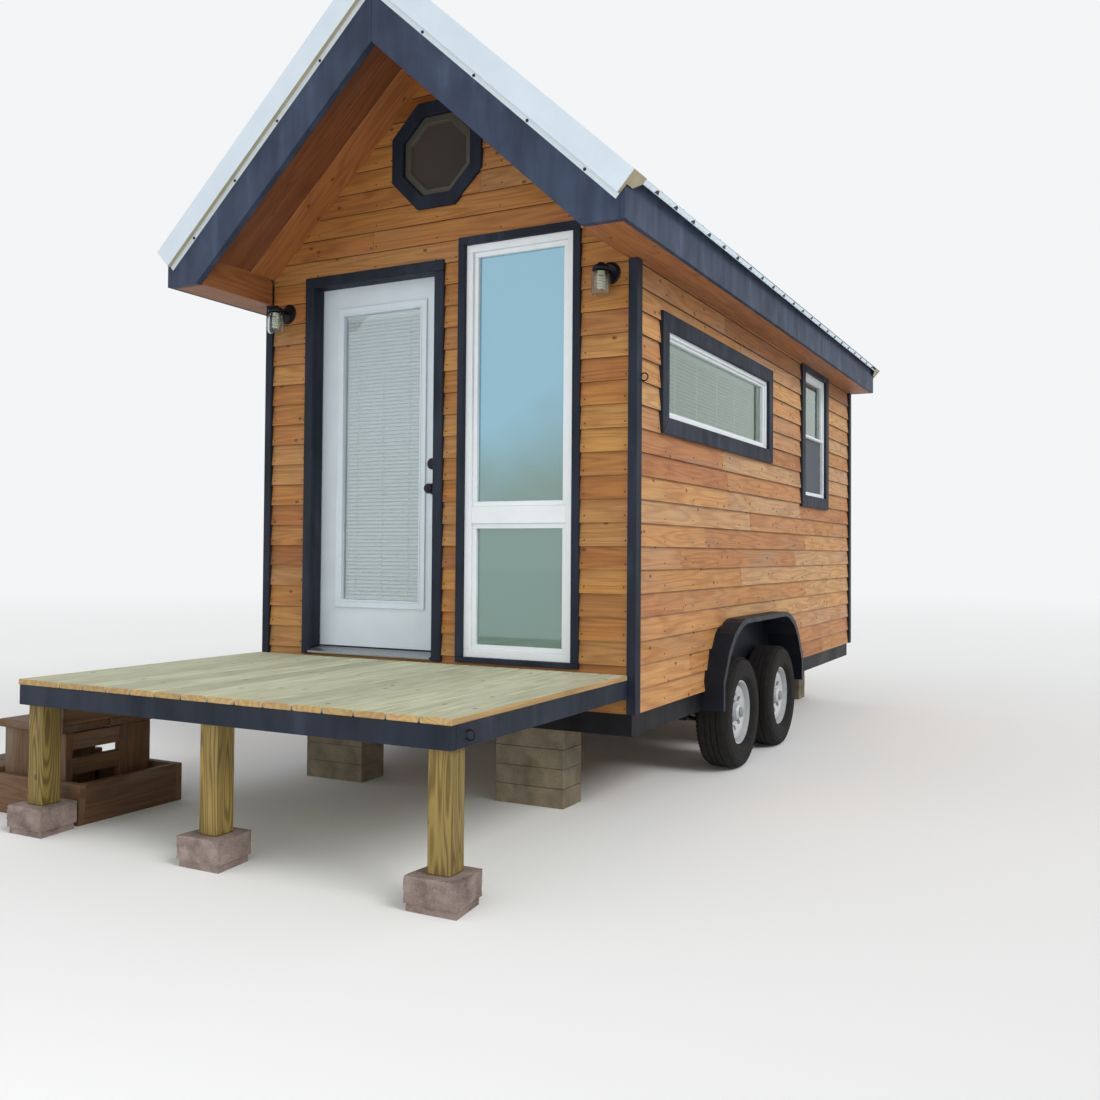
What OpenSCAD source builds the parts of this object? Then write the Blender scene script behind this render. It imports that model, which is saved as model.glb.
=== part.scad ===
// Tiny house on a two-axle trailer, blocked up on piers, with a front deck and side steps.
// Millimetres. The front faces -Y, +X is to the right of someone facing the front, +Z is up.
// The ground is Z = 0, and the origin is the middle of the whole footprint.

/* [House body] */
// Width over the corner trims
house_w = 2388; // [2200:1:2500]
// Length over the corner trims
house_l = 4730; // [4200:1:5400]
// Height of the siding's lower edge above the ground
siding_z = 505; // [470:1:560]
// Height of the finished floor above the ground
floor_z = 720; // [700:1:740]
// Thickness of the wooden floor
floor_t = 175; // [150:1:190]
// Thickness of a wall, framing and both linings
wall_t = 110; // [90:1:125]
// Depth of trim boards in front of the wall
trim_t = 32; // [26:1:38]
// Width of a corner trim seen from the front
corner_front_w = 48; // [40:1:70]
// Width of a corner trim seen from the side
corner_side_w = 64; // [50:1:90]

/* [Siding] */
// Height of each lapped board that shows
lap = 116.5; // [90:0.5:140]
// Thickness of a lapped board at its lower edge
lap_butt = 20; // [14:0.5:22]
// Thickness of a lapped board at its upper edge
lap_tip = 8; // [5:0.5:10]

/* [Roof] */
// Slope of the roof in degrees
pitch = 42.5; // [38:0.5:46]
// Height of the eave soffit above the ground
soffit_z = 2726; // [2700:1:2800]
// Height of the eave fascia boards
fascia_h = 207; // [190:1:230]
// Thickness of the eave fascia boards
fascia_t = 25; // [18:1:32]
// Overhang of the eaves beyond the corner trims
eave_over = 185; // [150:1:230]
// Overhang of the front gable beyond the corner trims
rake_over = 554; // [450:1:620]
// Overhang of the rear gable beyond the corner trims
rear_over = 38; // [38:1:80]
// Thickness of the roof, rafters and linings
roof_t = 182; // [150:1:190]
// Thickness of the soffit boards
soffit_t = 18; // [12:1:22]
// Depth of the sloping gable boards, square to the slope
barge_w = 297; // [270:1:320]
// Thickness of the sloping gable boards
barge_t = 38; // [25:1:38]

/* [Metal roofing] */
// Distance between the main ribs
rib_pitch = 228.6; // [200:0.1:260]
// Height of the main ribs
rib_h = 19; // [12:0.5:25]
// Width of a main rib at its foot
rib_foot = 58; // [40:1:70]
// Width of a main rib at its top
rib_top = 20; // [12:1:30]
// Height of the small ribs between the main ones
bead_h = 4; // [2:0.5:6]
// Width of a small rib
bead_w = 26; // [16:1:34]
// Thickness of the sheet as modelled
sheet_t = 4; // [3:0.5:6]
// Overhang of the sheet beyond the eave fascia
sheet_over = 32; // [20:1:50]
// Depth of the white gable trim that hangs over the gable board
rake_face = 140; // [110:1:170]
// Depth of the white trim's lower flange, which is screwed to the gable board
rake_flange = 27; // [20:1:40]
// Distance by which the white trim stands out from the gable board
rake_stand = 25; // [15:1:30]
// Width of the white gable trim on top of the roof
rake_top = 110; // [80:1:150]
// Width of the ridge cap on each slope
cap_w = 160; // [120:1:200]

/* [Door] */
// Width of the door leaf
door_w = 862; // [760:1:870]
// Height of the door leaf
door_h = 2058; // [1900:1:2064]
// Thickness of the door leaf
door_t = 44; // [35:1:50]
// Middle of the door, left of the middle of the front
door_off = 419; // [412:1:426]
// Distance of the door leaf's outer face behind the face of the trim
door_recess = 98; // [90:1:100]
// Gap around the door leaf
door_gap = 7; // [7:0.5:8]
// Width of the glass in the door
lite_w = 532; // [420:1:560]
// Rail above the door's glass, to the top of the leaf
lite_head = 172; // [150:1:300]
// Height of the glass above the lower edge of the leaf
lite_sill = 264; // [240:1:300]
// Width of the raised moulding round the door glass
lite_border = 44; // [30:1:48]
// Thickness of the door jambs
jamb_t = 20; // [16:1:24]
// Width of the stops that the leaf closes against
stop_w = 20; // [14:1:22]
// Height of the door knob above the lower edge of the leaf
knob_h = 881; // [850:1:950]
// Distance of the dead bolt above the knob
bolt_rise = 136; // [110:1:180]
// Distance of the knob from the edge of the leaf
backset = 70; // [60:1:72]

/* [Windows] */
// Width of the tall front window
tall_w = 644; // [560:1:660]
// Height of the tall front window
tall_h = 2176; // [2000:1:2190]
// Middle of the tall front window, right of the middle of the front
tall_off = 516; // [510:1:540]
// Height of the lower pane of the tall window
tall_low = 700; // [500:1:900]
// Width of the octagon window across its flats, over the trim
octagon_w = 580; // [500:1:600]
// Height of the middle of the octagon window above the ground
octagon_z = 3435; // [3400:1:3450]
// Length of the wide side window
wide_w = 1790; // [1600:1:1850]
// Height of the wide side window
wide_h = 458; // [400:1:520]
// Distance of the wide side window from the front
wide_y = 421; // [400:1:440]
// Height of the wide side window's sill above the ground
wide_z = 1993; // [1960:1:2030]
// Width of the narrow side window
narrow_w = 642; // [560:1:700]
// Height of the narrow side window
narrow_h = 945; // [850:1:950]
// Distance of the narrow side window from the front
narrow_y = 3163; // [3130:1:3300]
// Height of the narrow side window's sill above the ground
narrow_z = 1737; // [1720:1:1740]
// Width of the frames of all windows
sash_w = 66; // [50:1:76]
// Depth of the window frames in the wall
sash_t = 84; // [70:1:90]
// Thickness of the glass units
glass_t = 20; // [16:1:26]
// Distance of the window frames behind the face of the trim
sash_recess = 20; // [14:1:26]
// Width of the casing round the side windows
casing_w = 88; // [60:1:100]
// Width of the casing beside the front windows
slim_casing_w = 42; // [30:1:48]
// Width of the casing round the door
door_casing_w = 60; // [50:1:66]
// Width of the octagon's trim
octagon_casing_w = 72; // [50:1:90]

/* [Trailer] */
// Depth of the steel frame members
rail_h = 150; // [120:1:160]
// Width of the steel frame members
rail_w = 50; // [40:1:55]
// Distance between cross members
cross_pitch = 610; // [500:1:700]
// Distance of the front axle from the front of the house
axle_y = 1440; // [1400:1:1500]
// Distance between the two axles
axle_gap = 838; // [800:1:860]
// Outer diameter of the tyres
tyre_d = 662; // [640:1:672]
// Width of the tyres
tyre_w = 205; // [185:1:208]
// Diameter of the wheel rims
rim_d = 378; // [360:1:400]
// Gap between the tyres and the ground while the house stands on its piers
tyre_lift = 3; // [2:1:10]
// Distance of the tyre's outer face beyond the corner trims
tyre_out = 82; // [70:1:85]
// Distance of the fender's outer edge beyond the corner trims
fender_out = 100; // [98:1:120]
// Height of the fender's top above the ground
fender_z = 897; // [880:1:930]
// Length of the fender
fender_l = 1708; // [1680:1:1760]
// Thickness of the fender as modelled
fender_t = 4; // [3:0.5:6]
// Depth of the fender's rolled edge
fender_lip = 28; // [20:1:40]
// Diameter of the axle tubes
axle_d = 76; // [60:1:80]
// Distance of the coupler behind the house
tongue_l = 1250; // [1000:1:1400]
// Distance of each tongue beam from the middle where it leaves the frame
tongue_x = 640; // [560:1:700]
// Distance of the jack in front of the coupler
jack_back = 340; // [320:1:400]
// Length of the jack's upper tube, and of its lower one
jack_tube_l = 260; // [220:1:280]
// Diameter of the ball socket in the coupler
socket_d = 59.8; // [52:0.2:62]

/* [Deck] */
// Depth of the deck in front of the house
deck_d = 1507; // [1200:1:1800]
// Width of the deck
deck_w = 2358; // [2200:1:2380]
// Distance of the deck's right edge inside the corner trim
deck_in = 37; // [30:1:60]
// Height of the deck's walking surface above the ground
deck_z = 697; // [680:1:715]
// Thickness of the deck boards
board_t = 25; // [20:1:32]
// Width of a deck board
board_w = 140; // [120:1:150]
// Gap between deck boards
board_gap = 9; // [5:1:12]
// Height of the black rim boards
rim_h = 90; // [80:1:110]
// Thickness of the black rim boards
rim_t = 30; // [20:1:38]
// Side of the square posts
post_w = 98; // [89:1:110]
// Distance of the posts inside the deck's ends
post_in = 28; // [24:1:60]
// How far left of the middle the middle post stands
post_off = 29; // [0:1:60]
// Height of the block that each post stands on
block_h = 97; // [80:1:110]
// Part of the lower block that stands above the ground
pad_h = 30; // [20:1:60]

/* [Piers and steps] */
// Length of the solid blocks in the piers
pier_w = 400; // [380:1:420]
// Depth of the solid blocks in the piers
pier_d = 200; // [180:1:220]
// Distance of each pier from the middle of the house
pier_x = 634; // [560:1:680]
// How far left of the middle the piers stand
pier_off = 46; // [0:1:60]
// Width of the steps from front to back
step_w = 600; // [540:1:660]
// Distance of the steps' near side in front of the house
step_y = 1300; // [1200:1:1304]
// Height of the low step box
step_h = 190; // [160:1:210]
// Length of the low step box
step_l = 900; // [820:1:1000]
// Height of the upper tread above the ground
tread_z = 450; // [430:1:470]
// Depth of the upper tread
tread_d = 450; // [420:1:480]
// Width of the planks that stand as posts under the upper tread
step_post_w = 184; // [140:1:190]
// Thickness of the steps' planks
plank_t = 38; // [32:1:40]

/* [Wall lights] */
// Distance of each wall light from the middle of the front
light_x = 1038; // [1030:1:1050]
// Distance of the wall lights below the eave soffit
light_drop = 61; // [36:1:126]
// Diameter of the lights' wall plates
plate_d = 114; // [90:1:120]
// Diameter of the glass jars
jar_d = 92; // [70:1:100]
// Height of the glass jars
jar_h = 128; // [100:1:150]
// Distance of the jars in front of the corner trims
light_reach = 84; // [70:1:110]

/* [Hidden] */
$fn = 48;

// Small distance by which a cutting shape passes a surface
eps = 1;
// Hairline between boards and sheets that lie against each other
seam = 0.3;
// Planes of the house body
trim_x = house_w / 2;
wall_x = trim_x - trim_t;
room_x = wall_x - wall_t;
wall_y = trim_t;
room_y = wall_y + wall_t;
rear_wall_y = house_l - trim_t;
rear_room_y = rear_wall_y - wall_t;
frame_top = floor_z - floor_t;
frame_low = frame_top - rail_h;
// Planes of the roof
slope = tan(pitch);
fascia_x = trim_x + eave_over;
ridge_z = soffit_z + fascia_h + slope * fascia_x;
gable_y = -rake_over;
gable_rear_y = house_l + rear_over;
roof_y = gable_y + barge_t;
roof_rear_y = gable_rear_y - barge_t;
siding_in = trim_x - corner_front_w;
metal_x = fascia_x + sheet_over;
rafter_low = soffit_z + soffit_t;
// Half the open joint where the two sides meet at the ridge
mitre = 0.5;
// Folded tab at the gable trims' lower ends: its length behind the board's face, and its depth there
tab_l = 60;
tab_deep = 40;
metal_top = seam + sheet_t + rib_h;
// Thickness of the bent trims, and the two layers that lie on the ribs
bent_t = 3;
cap_top = metal_top + seam + bent_t;
trim_top = cap_top + bent_t;
// Length of the roofing sheets down the slope; the gable trims run a little further
metal_run = metal_x / cos(pitch);
trim_run = metal_run + bent_t + 1;
metal_y = gable_y + 10;
metal_rear_y = gable_rear_y - 10;
rib_count = floor((metal_rear_y - metal_y - 40) / rib_pitch);
rib_start = (metal_y + metal_rear_y - rib_count * rib_pitch) / 2;
// Heights at a distance square to the slope below the top of the roof
function slant(depth) = depth / cos(pitch);
function roof_at(x, depth = 0) = ridge_z - slant(depth) - slope * x;
function x_at(z, depth = 0) = (ridge_z - slant(depth) - z) / slope;
lining_t = roof_t + soffit_t;
// Door
door_left = -door_off - door_w / 2;
door_right = -door_off + door_w / 2;
door_low = floor_z + 29;
door_top = door_low + door_h;
jamb_left = door_left - door_gap;
jamb_right = door_right + door_gap;
jamb_top = door_top + door_gap;
rough_left = jamb_left - jamb_t;
rough_right = jamb_right + jamb_t;
rough_top = jamb_top + jamb_t;
stop_left = jamb_left + stop_w;
stop_right = jamb_right - stop_w;
stop_top = jamb_top - stop_w;
casing_low = floor_z - 17;
sill_top = door_low - door_gap;
leaf_back = door_recess + door_t;
pin_r = 3.5;
knuckle_r = 6.5;
pin_gap = 0.3;
leaf_gap = 0.5;
knuckle_h = 30;
hinge_t = 3;
pin_x = door_left - door_gap / 2;
pin_y = leaf_back + knuckle_r;
hinge_heights = [door_low + 200, door_low + door_h / 2, door_top - 200];
lite_left = door_left + (door_w - lite_w) / 2;
lite_low = door_low + lite_sill;
lite_h = door_h - lite_sill - lite_head;
// Spindles of the two locks
lock_r = 12;
// Windows
tall_z = floor_z + 16;
tall_left = tall_off - tall_w / 2;
tall_right = tall_off + tall_w / 2;
tall_top = tall_z + tall_h;
// Height at which the wall's lower pieces end, above both the door and the tall window
head_z = max(tall_top, rough_top);
tall_low_casing_z = floor_z - 12;
// Bar between the tall window's panes, and the meeting rail of the narrow ones
tall_bar_z = tall_z + tall_low;
tall_bar_h = 90;
rail_half = 22;
// Frames of the side windows are slimmer than the tall one's
wide_sash = sash_w * 0.6;
narrow_sash = sash_w * 0.8;
glass_in = 30;
sash_y = sash_recess;
sash_x = trim_x - sash_recess;
octagon_in = octagon_w - 2 * octagon_casing_w;
octagon_sash = 10;
octagon_sleeve = 50;
octagon_glass_y = wall_y + 2;
light_z = soffit_z - light_drop;
cap_drop = 8;
// Running gear
wheel_z = tyre_d / 2 + tyre_lift;
wheel_x = trim_x + tyre_out - tyre_w / 2;
wheel_y = [axle_y, axle_y + axle_gap];
tandem_y = axle_y + axle_gap / 2;
well_x = wheel_x - tyre_w / 2 - 12;
fender_x = trim_x + fender_out;
fender_low = frame_low;
// Rounded corner of a fender, as distances in from its end and down from its top
fender_corner = [[0, 330], [95, 175], [195, 75], [320, 18], [400, 0]];
spindle_r = 19;
spindle_gap = 0.1;
spindle_l = wheel_x + tyre_w * 0.25 - well_x;
hub_r = 46;
rail_x = 985;
spring_x = rail_x + rail_w / 2;
// Deck
deck_right = trim_x - deck_in;
deck_left = deck_right - deck_w;
deck_frame_z = deck_z - board_t;
deck_low = deck_frame_z - rim_h;
post_top = deck_low;
post_low = pad_h + block_h;
// The boards lie a little over the rims all round
rim_left = deck_left + 4;
rim_right = deck_right - 4;
rim_y = -deck_d + 4;
board_pitch = board_w + board_gap;
board_count = floor((deck_w + board_gap) / board_pitch);
joist_pitch = 400;
post_xs = [deck_left + post_in, (deck_left + deck_right - post_w) / 2 - post_off,
    deck_right - post_in - post_w];
post_y = rim_y + rim_t;
post_mid_y = post_y + post_w / 2;
block_w = 236;
block_d = 200;
step_under = 150;
step_near = -step_y;
step_right = rim_left;
step_left = step_right - tread_d;
tread_over = 20;
step_in = 40;

// Everything is drawn from the front of the house and then set round the middle of the footprint
step_end = deck_left - step_l + step_under;
coupler_y = house_l + tongue_l;
coupler_r = socket_d / 2 + 10;
socket_deep = 48;
tongue_end_y = coupler_y - 90;
tongue_top = siding_z - 10;
jack_y = coupler_y - jack_back;
jack_r = 29.5;
jack_plate_t = 8;
roof_edge_x = trim_run * cos(pitch) + trim_top * sin(pitch);
origin_x = (step_end + roof_edge_x) / 2;
origin_y = (post_mid_y - block_d / 2 + coupler_y + coupler_r) / 2;
module placed() {
    translate([-origin_x, -origin_y, 0]) children();
}
module both_sides() {
    children();
    mirror([1, 0, 0]) children();
}
// A shape drawn across the house in X and Z, running back from one place in Y
module across(from, to) {
    translate([0, to, 0]) rotate([90, 0, 0]) linear_extrude(to - from) children();
}
// A shape drawn along the house in Y and Z, running out from one place in X
module along(from, to) {
    translate([from, 0, 0]) rotate([90, 0, 90]) linear_extrude(to - from) children();
}
module box(low, high) {
    translate(low) cube(high - low);
}

// Outline of one fender in Y and Z; inset draws the same outline that much smaller
function fender_outline(inset = 0) = let (h = fender_l / 2 - inset, t = fender_z - inset) concat(
    [[tandem_y - h, fender_low]],
    [for (p = fender_corner) [tandem_y - h + p[0], t - p[1]]],
    [for (i = [len(fender_corner) - 1:-1:0]) [tandem_y + h - fender_corner[i][0], t - fender_corner[i][1]]],
    [[tandem_y + h, fender_low]]);
module fender_space(from) {
    along(from, trim_x + eps) polygon(fender_outline());
}

// Steel frame
module frame_rails() {
    color("#2b2d33") both_sides() {
        box([rail_x, wall_y + rail_w, frame_low], [rail_x + rail_w, rear_wall_y - rail_w, frame_top]);
        box([wall_x - rail_w, wall_y + rail_w, frame_low],
            [wall_x, tandem_y - fender_l / 2 - fender_t, frame_top]);
        box([wall_x - rail_w, tandem_y + fender_l / 2 + fender_t, frame_low],
            [wall_x, rear_wall_y - rail_w, frame_top]);
    }
}
module frame_crossmembers() {
    inner_l = rear_wall_y - wall_y - 2 * rail_w;
    count = floor(inner_l / cross_pitch);
    color("#2b2d33") {
        box([-wall_x, wall_y, frame_low], [wall_x, wall_y + rail_w, frame_top]);
        box([-wall_x, rear_wall_y - rail_w, frame_low], [wall_x, rear_wall_y, frame_top]);
        for (i = [1:count - 1]) {
            y = wall_y + rail_w + i * inner_l / count;
            box([-rail_x, y - rail_w / 2, frame_top - 100], [rail_x, y + rail_w / 2, frame_top]);
        }
    }
}
module tongue() {
    low = frame_low;
    high = tongue_top;
    beam_w = rail_w + 12;
    nose_half = 30;
    color("#2b2d33") {
        both_sides() translate([0, 0, low]) linear_extrude(high - low) polygon([
            [tongue_x, rear_wall_y], [tongue_x + beam_w, rear_wall_y],
            [nose_half + beam_w, tongue_end_y], [nose_half, tongue_end_y]]);
        box([-nose_half, tongue_end_y - 110, low], [nose_half, tongue_end_y, high]);
        // Plate that carries the jack
        difference() {
            box([-150, jack_y - 80, high], [150, jack_y + 80, high + jack_plate_t]);
            translate([0, jack_y, high - eps]) cylinder(r = jack_r + 0.5, h = jack_plate_t + 2 * eps);
        }
    }
}
module coupler() {
    y = coupler_y;
    low = frame_low + 10;
    color("#3a3d44") difference() {
        union() {
            translate([0, y, low]) cylinder(r = coupler_r, h = 62);
            box([-36, tongue_end_y, low], [36, y - 20, low + 62]);
        }
        translate([0, y, low - eps]) cylinder(d = socket_d, h = socket_deep + eps);
    }
}
module tongue_jack() {
    top = tongue_top + jack_plate_t;
    foot_z = 140;
    color("#3a3d44") translate([0, jack_y, 0]) {
        translate([0, 0, top - jack_tube_l]) cylinder(r = jack_r, h = jack_tube_l);
        // Collar on the plate, and the gear tube above it
        translate([0, 0, top]) cylinder(r = jack_r + 12, h = 12);
        translate([0, 0, top + 12]) cylinder(r = jack_r, h = jack_tube_l);
        // Inner tube and its foot
        translate([0, 0, foot_z + 10]) cylinder(r = jack_r - 7, h = top - jack_tube_l - foot_z - 10);
        translate([0, 0, foot_z]) cylinder(r = 75, h = 10);
        // Crank on top
        translate([0, 0, top + jack_tube_l + 12]) {
            cylinder(r = 9, h = 30);
            translate([0, 0, 24]) rotate([0, 90, 0]) cylinder(r = 7, h = 150);
            translate([143, 0, 18]) cylinder(r = 8, h = 90);
        }
    }
}

// Running gear
module axles() {
    color("#2b2d33") for (y = wheel_y) translate([0, y, wheel_z]) {
        rotate([0, 90, 0]) cylinder(d = axle_d, h = 2 * (well_x - 6), center = true);
        both_sides() {
            translate([well_x - 6, 0, 0]) rotate([0, 90, 0]) cylinder(r = spindle_r, h = spindle_l);
            // Seat on the spring
            translate([spring_x - 30, -50, -axle_d / 2]) cube([60, 100, axle_d / 2]);
        }
    }
}
module leaf_springs() {
    spring_w = 45;
    half = 330;
    low = wheel_z - axle_d / 2;
    color("#3a3d44") both_sides() for (y = wheel_y) {
        // Pack of leaves under the axle
        along(spring_x - spring_w / 2, spring_x + spring_w / 2) polygon([
            [y - half, low + 38], [y - half * 0.55, low - 6], [y - 60, low - 26], [y + 60, low - 26],
            [y + half * 0.55, low - 6], [y + half, low + 38], [y + half, low + 56], [y + half * 0.5, low + 10],
            [y + 60, low], [y - 60, low], [y - half * 0.5, low + 10], [y - half, low + 56]]);
        // Hangers that carry the ends of the leaves
        for (end = [-1, 1]) box([spring_x - spring_w / 2, y + end * (half + 12) - 12, low + 20],
            [spring_x + spring_w / 2, y + end * (half + 12) + 12, frame_low]);
    }
}
module fenders() {
    color("#33363d") both_sides() {
        difference() {
            along(well_x, fender_x) polygon(fender_outline());
            along(well_x - eps, fender_x + eps) polygon(concat(fender_outline(fender_t),
                [[tandem_y + fender_l / 2 - fender_t, fender_low - eps],
                 [tandem_y - fender_l / 2 + fender_t, fender_low - eps]]));
        }
        // Inner side of the wheel well
        along(well_x, well_x + fender_t) polygon(fender_outline(fender_t + seam));
        // Rolled edge
        difference() {
            along(fender_x - fender_t, fender_x) polygon(fender_outline(fender_t));
            along(fender_x - fender_t - eps, fender_x + eps) polygon(concat(fender_outline(fender_lip),
                [[tandem_y + fender_l / 2 - fender_lip, fender_low - eps],
                 [tandem_y - fender_l / 2 + fender_lip, fender_low - eps]]));
        }
    }
}
module at_wheel(side, row) {
    translate([side * wheel_x, wheel_y[row], wheel_z]) rotate([0, 90 * side, 0]) children();
}
module tyre() {
    r = tyre_d / 2;
    bead = rim_d / 2;
    h = tyre_w / 2;
    color("#3b3834") rotate_extrude($fn = 72) polygon([
        [bead, -h * 0.72], [bead + 20, -h * 0.9], [bead + 60, -h], [r - 40, -h * 0.97], [r - 12, -h * 0.82],
        [r, -h * 0.66], [r, h * 0.66], [r - 12, h * 0.82], [r - 40, h * 0.97], [bead + 60, h],
        [bead + 20, h * 0.9], [bead, h * 0.72]]);
}
module rim() {
    r = rim_d / 2;
    h = tyre_w / 2;
    color("#e2e3e2") difference() {
        rotate_extrude($fn = 72) polygon([
            [spindle_r + spindle_gap, -h * 0.45], [hub_r + 16, -h * 0.45], [hub_r + 16, h * 0.02],
            [r - 44, h * 0.3], [r - 26, h * 0.05], [r - 20, -h * 0.6], [r - 8, -h * 0.72], [r, -h * 0.72],
            [r, h * 0.72], [r - 8, h * 0.72], [r - 14, h * 0.3], [r - 34, h * 0.5], [r - 60, h * 0.5],
            [hub_r + 6, h * 0.2], [hub_r, h * 0.62], [hub_r - 12, h * 0.74], [0, h * 0.74],
            [0, h * 0.62], [spindle_r + spindle_gap, h * 0.62]]);
        // Hand holes round the disc
        for (i = [0:7]) rotate(i * 45) translate([hub_r + 52, 0, -h * 0.2]) cylinder(d = 34, h = h);
    }
}

// Floor and walls
module floor() {
    color("#b9925e") difference() {
        box([-wall_x, wall_y, frame_top], [wall_x, rear_wall_y, floor_z]);
        both_sides() fender_space(well_x);
    }
}
module gable_outline() {
    polygon([[-room_x, floor_z], [room_x, floor_z], [room_x, roof_at(room_x, lining_t)],
        [0, roof_at(0, lining_t)], [-room_x, roof_at(room_x, lining_t)]]);
}
module front_slab(from_x, to_x, from_z, to_z) {
    intersection() {
        across(wall_y, room_y) gable_outline();
        box([from_x, 0, from_z], [to_x, room_y + eps, to_z]);
    }
}
module front_wall_left() {
    color("#a9713f") front_slab(-room_x, rough_left, floor_z, head_z);
}
module front_wall_middle() {
    color("#a9713f") front_slab(rough_right, tall_left, floor_z, head_z);
}
module front_wall_right() {
    color("#a9713f") {
        front_slab(tall_right, room_x, floor_z, head_z);
        // Sill under the tall window
        front_slab(tall_left, tall_right, floor_z, tall_z);
    }
}
module octagon(across_flats) {
    rotate(22.5) circle(d = across_flats / cos(22.5), $fn = 8);
}
module octagon_hole(width, from, to) {
    across(from, to) translate([0, octagon_z]) octagon(width);
}
module front_gable() {
    color("#a9713f") difference() {
        union() {
            front_slab(-room_x, room_x, head_z, ridge_z);
            // Above the door, and above the window where that is the lower of the two
            front_slab(rough_left, rough_right, rough_top, head_z + eps);
            front_slab(tall_left, tall_right, tall_top, head_z + eps);
        }
        octagon_hole(octagon_in, 0, room_y + eps);
    }
}
module rear_wall() {
    color("#a9713f") across(rear_room_y, rear_wall_y) gable_outline();
}
module side_window_holes(inset, from, to) {
    box([from, wide_y + inset, wide_z + inset], [to, wide_y + wide_w - inset, wide_z + wide_h - inset]);
    box([from, narrow_y + inset, narrow_z + inset],
        [to, narrow_y + narrow_w - inset, narrow_z + narrow_h - inset]);
}
module side_wall() {
    difference() {
        across(wall_y, rear_wall_y) polygon([[room_x, floor_z], [wall_x, floor_z],
            [wall_x, roof_at(wall_x, lining_t)], [room_x, roof_at(room_x, lining_t)]]);
        side_window_holes(0, 0, trim_x);
        fender_space(well_x);
    }
}
module left_wall() {
    color("#a9713f") mirror([1, 0, 0]) side_wall();
}
module right_wall() {
    color("#a9713f") side_wall();
}

// Lapped siding, drawn as one stepped profile; the first number is the distance out from the wall
function lap_profile(low, high) = let (count = ceil((high - low) / lap)) concat(
    [[0, low]],
    [for (i = [0:count - 1]) each [
        [lap_butt, low + i * lap],
        [lap_butt + (lap_tip - lap_butt) * min(1, (high - low - i * lap) / lap),
            min(high, low + (i + 1) * lap)]]],
    [[0, high]]);
module front_lap(low, high) {
    rotate([90, 0, 90]) translate([0, 0, -wall_x]) linear_extrude(2 * wall_x)
        polygon([for (p = lap_profile(low, high)) [-p[0], p[1]]]);
}
// Outline of a gable's siding, up to the sloping soffit
module gable_siding() {
    across(-lap_butt - eps, eps) polygon([[-siding_in, siding_z], [siding_in, siding_z],
        [siding_in, roof_at(siding_in, lining_t + seam)], [0, roof_at(0, lining_t + seam)],
        [-siding_in, roof_at(siding_in, lining_t + seam)]]);
}
module front_siding() {
    color("#b8763c") translate([0, wall_y, 0]) difference() {
        intersection() {
            front_lap(siding_z, ridge_z);
            gable_siding();
        }
        // Door with its casing
        box([stop_left - door_casing_w, -lap_butt - eps, casing_low],
            [stop_right + door_casing_w, eps, stop_top + door_casing_w]);
        // Tall window with its casing
        box([tall_left - slim_casing_w, -lap_butt - eps, tall_low_casing_z],
            [tall_right + slim_casing_w, eps, tall_top + slim_casing_w]);
        octagon_hole(octagon_w, -lap_butt - eps, eps);
        // Wall plates of the lights
        both_sides() translate([light_x, eps, light_z]) rotate([90, 0, 0])
            cylinder(d = plate_d + 1, h = lap_butt + 2 * eps);
    }
}
module side_siding() {
    color("#b8763c") both_sides() difference() {
        translate([wall_x, 0, 0]) rotate([90, 0, 0]) translate([0, 0, -house_l + corner_side_w])
            linear_extrude(house_l - 2 * corner_side_w) polygon(lap_profile(siding_z, soffit_z));
        side_window_holes(-casing_w, 0, trim_x);
        fender_space(well_x);
    }
}
module rear_siding() {
    color("#b8763c") translate([0, house_l, 0]) mirror([0, 1, 0]) translate([0, wall_y, 0]) intersection() {
        front_lap(siding_z, ridge_z);
        gable_siding();
    }
}
module corner_trims() {
    top = soffit_z;
    color("#2e323b") both_sides() for (flip = [0, 1])
        translate([0, flip * house_l, 0]) mirror([0, flip, 0]) {
            box([trim_x - corner_front_w, 0, siding_z], [trim_x, trim_t, top]);
            box([wall_x, trim_t, siding_z], [trim_x, corner_side_w, top]);
        }
}

// Windows and their casings
module frame_xz(left, right, low, high, border, from, to) {
    difference() {
        box([left, from, low], [right, to, high]);
        box([left + border, from - eps, low + border], [right - border, to + eps, high - border]);
    }
}
module frame_yz(y, z, w, h, border, from, to) {
    difference() {
        box([from, y, z], [to, y + w, z + h]);
        box([from - eps, y + border, z + border], [to + eps, y + w - border, z + h - border]);
    }
}
// Four boards round a side window, mitred at the corners
module side_casing(y, z, w, h, top_w) {
    top = z + h + top_w;
    for (end = [[y - casing_w, y], [y + w + casing_w, y + w]]) along(wall_x, trim_x) polygon([
        [end[0], z - casing_w + mitre], [end[1], z + mitre], [end[1], z + h - mitre], [end[0], top - mitre]]);
    for (edge = [[z - casing_w, z], [top, z + h]]) along(wall_x, trim_x) polygon([
        [y - casing_w + mitre, edge[0]], [y + mitre, edge[1]],
        [y + w - mitre, edge[1]], [y + w + casing_w - mitre, edge[0]]]);
}
module window_casings() {
    outer = [tall_left - slim_casing_w, tall_right + slim_casing_w];
    color("#2e323b") {
        box([outer[0], 0, tall_low_casing_z], [outer[1], trim_t, tall_z - seam]);
        box([outer[0], 0, tall_top + seam], [outer[1], trim_t, tall_top + slim_casing_w]);
        box([outer[0], 0, tall_z], [tall_left, trim_t, tall_top]);
        box([tall_right, 0, tall_z], [outer[1], trim_t, tall_top]);
        both_sides() {
            side_casing(wide_y, wide_z, wide_w, wide_h, casing_w);
            side_casing(narrow_y, narrow_z, narrow_w, narrow_h, soffit_z - narrow_z - narrow_h - seam);
        }
    }
}
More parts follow.
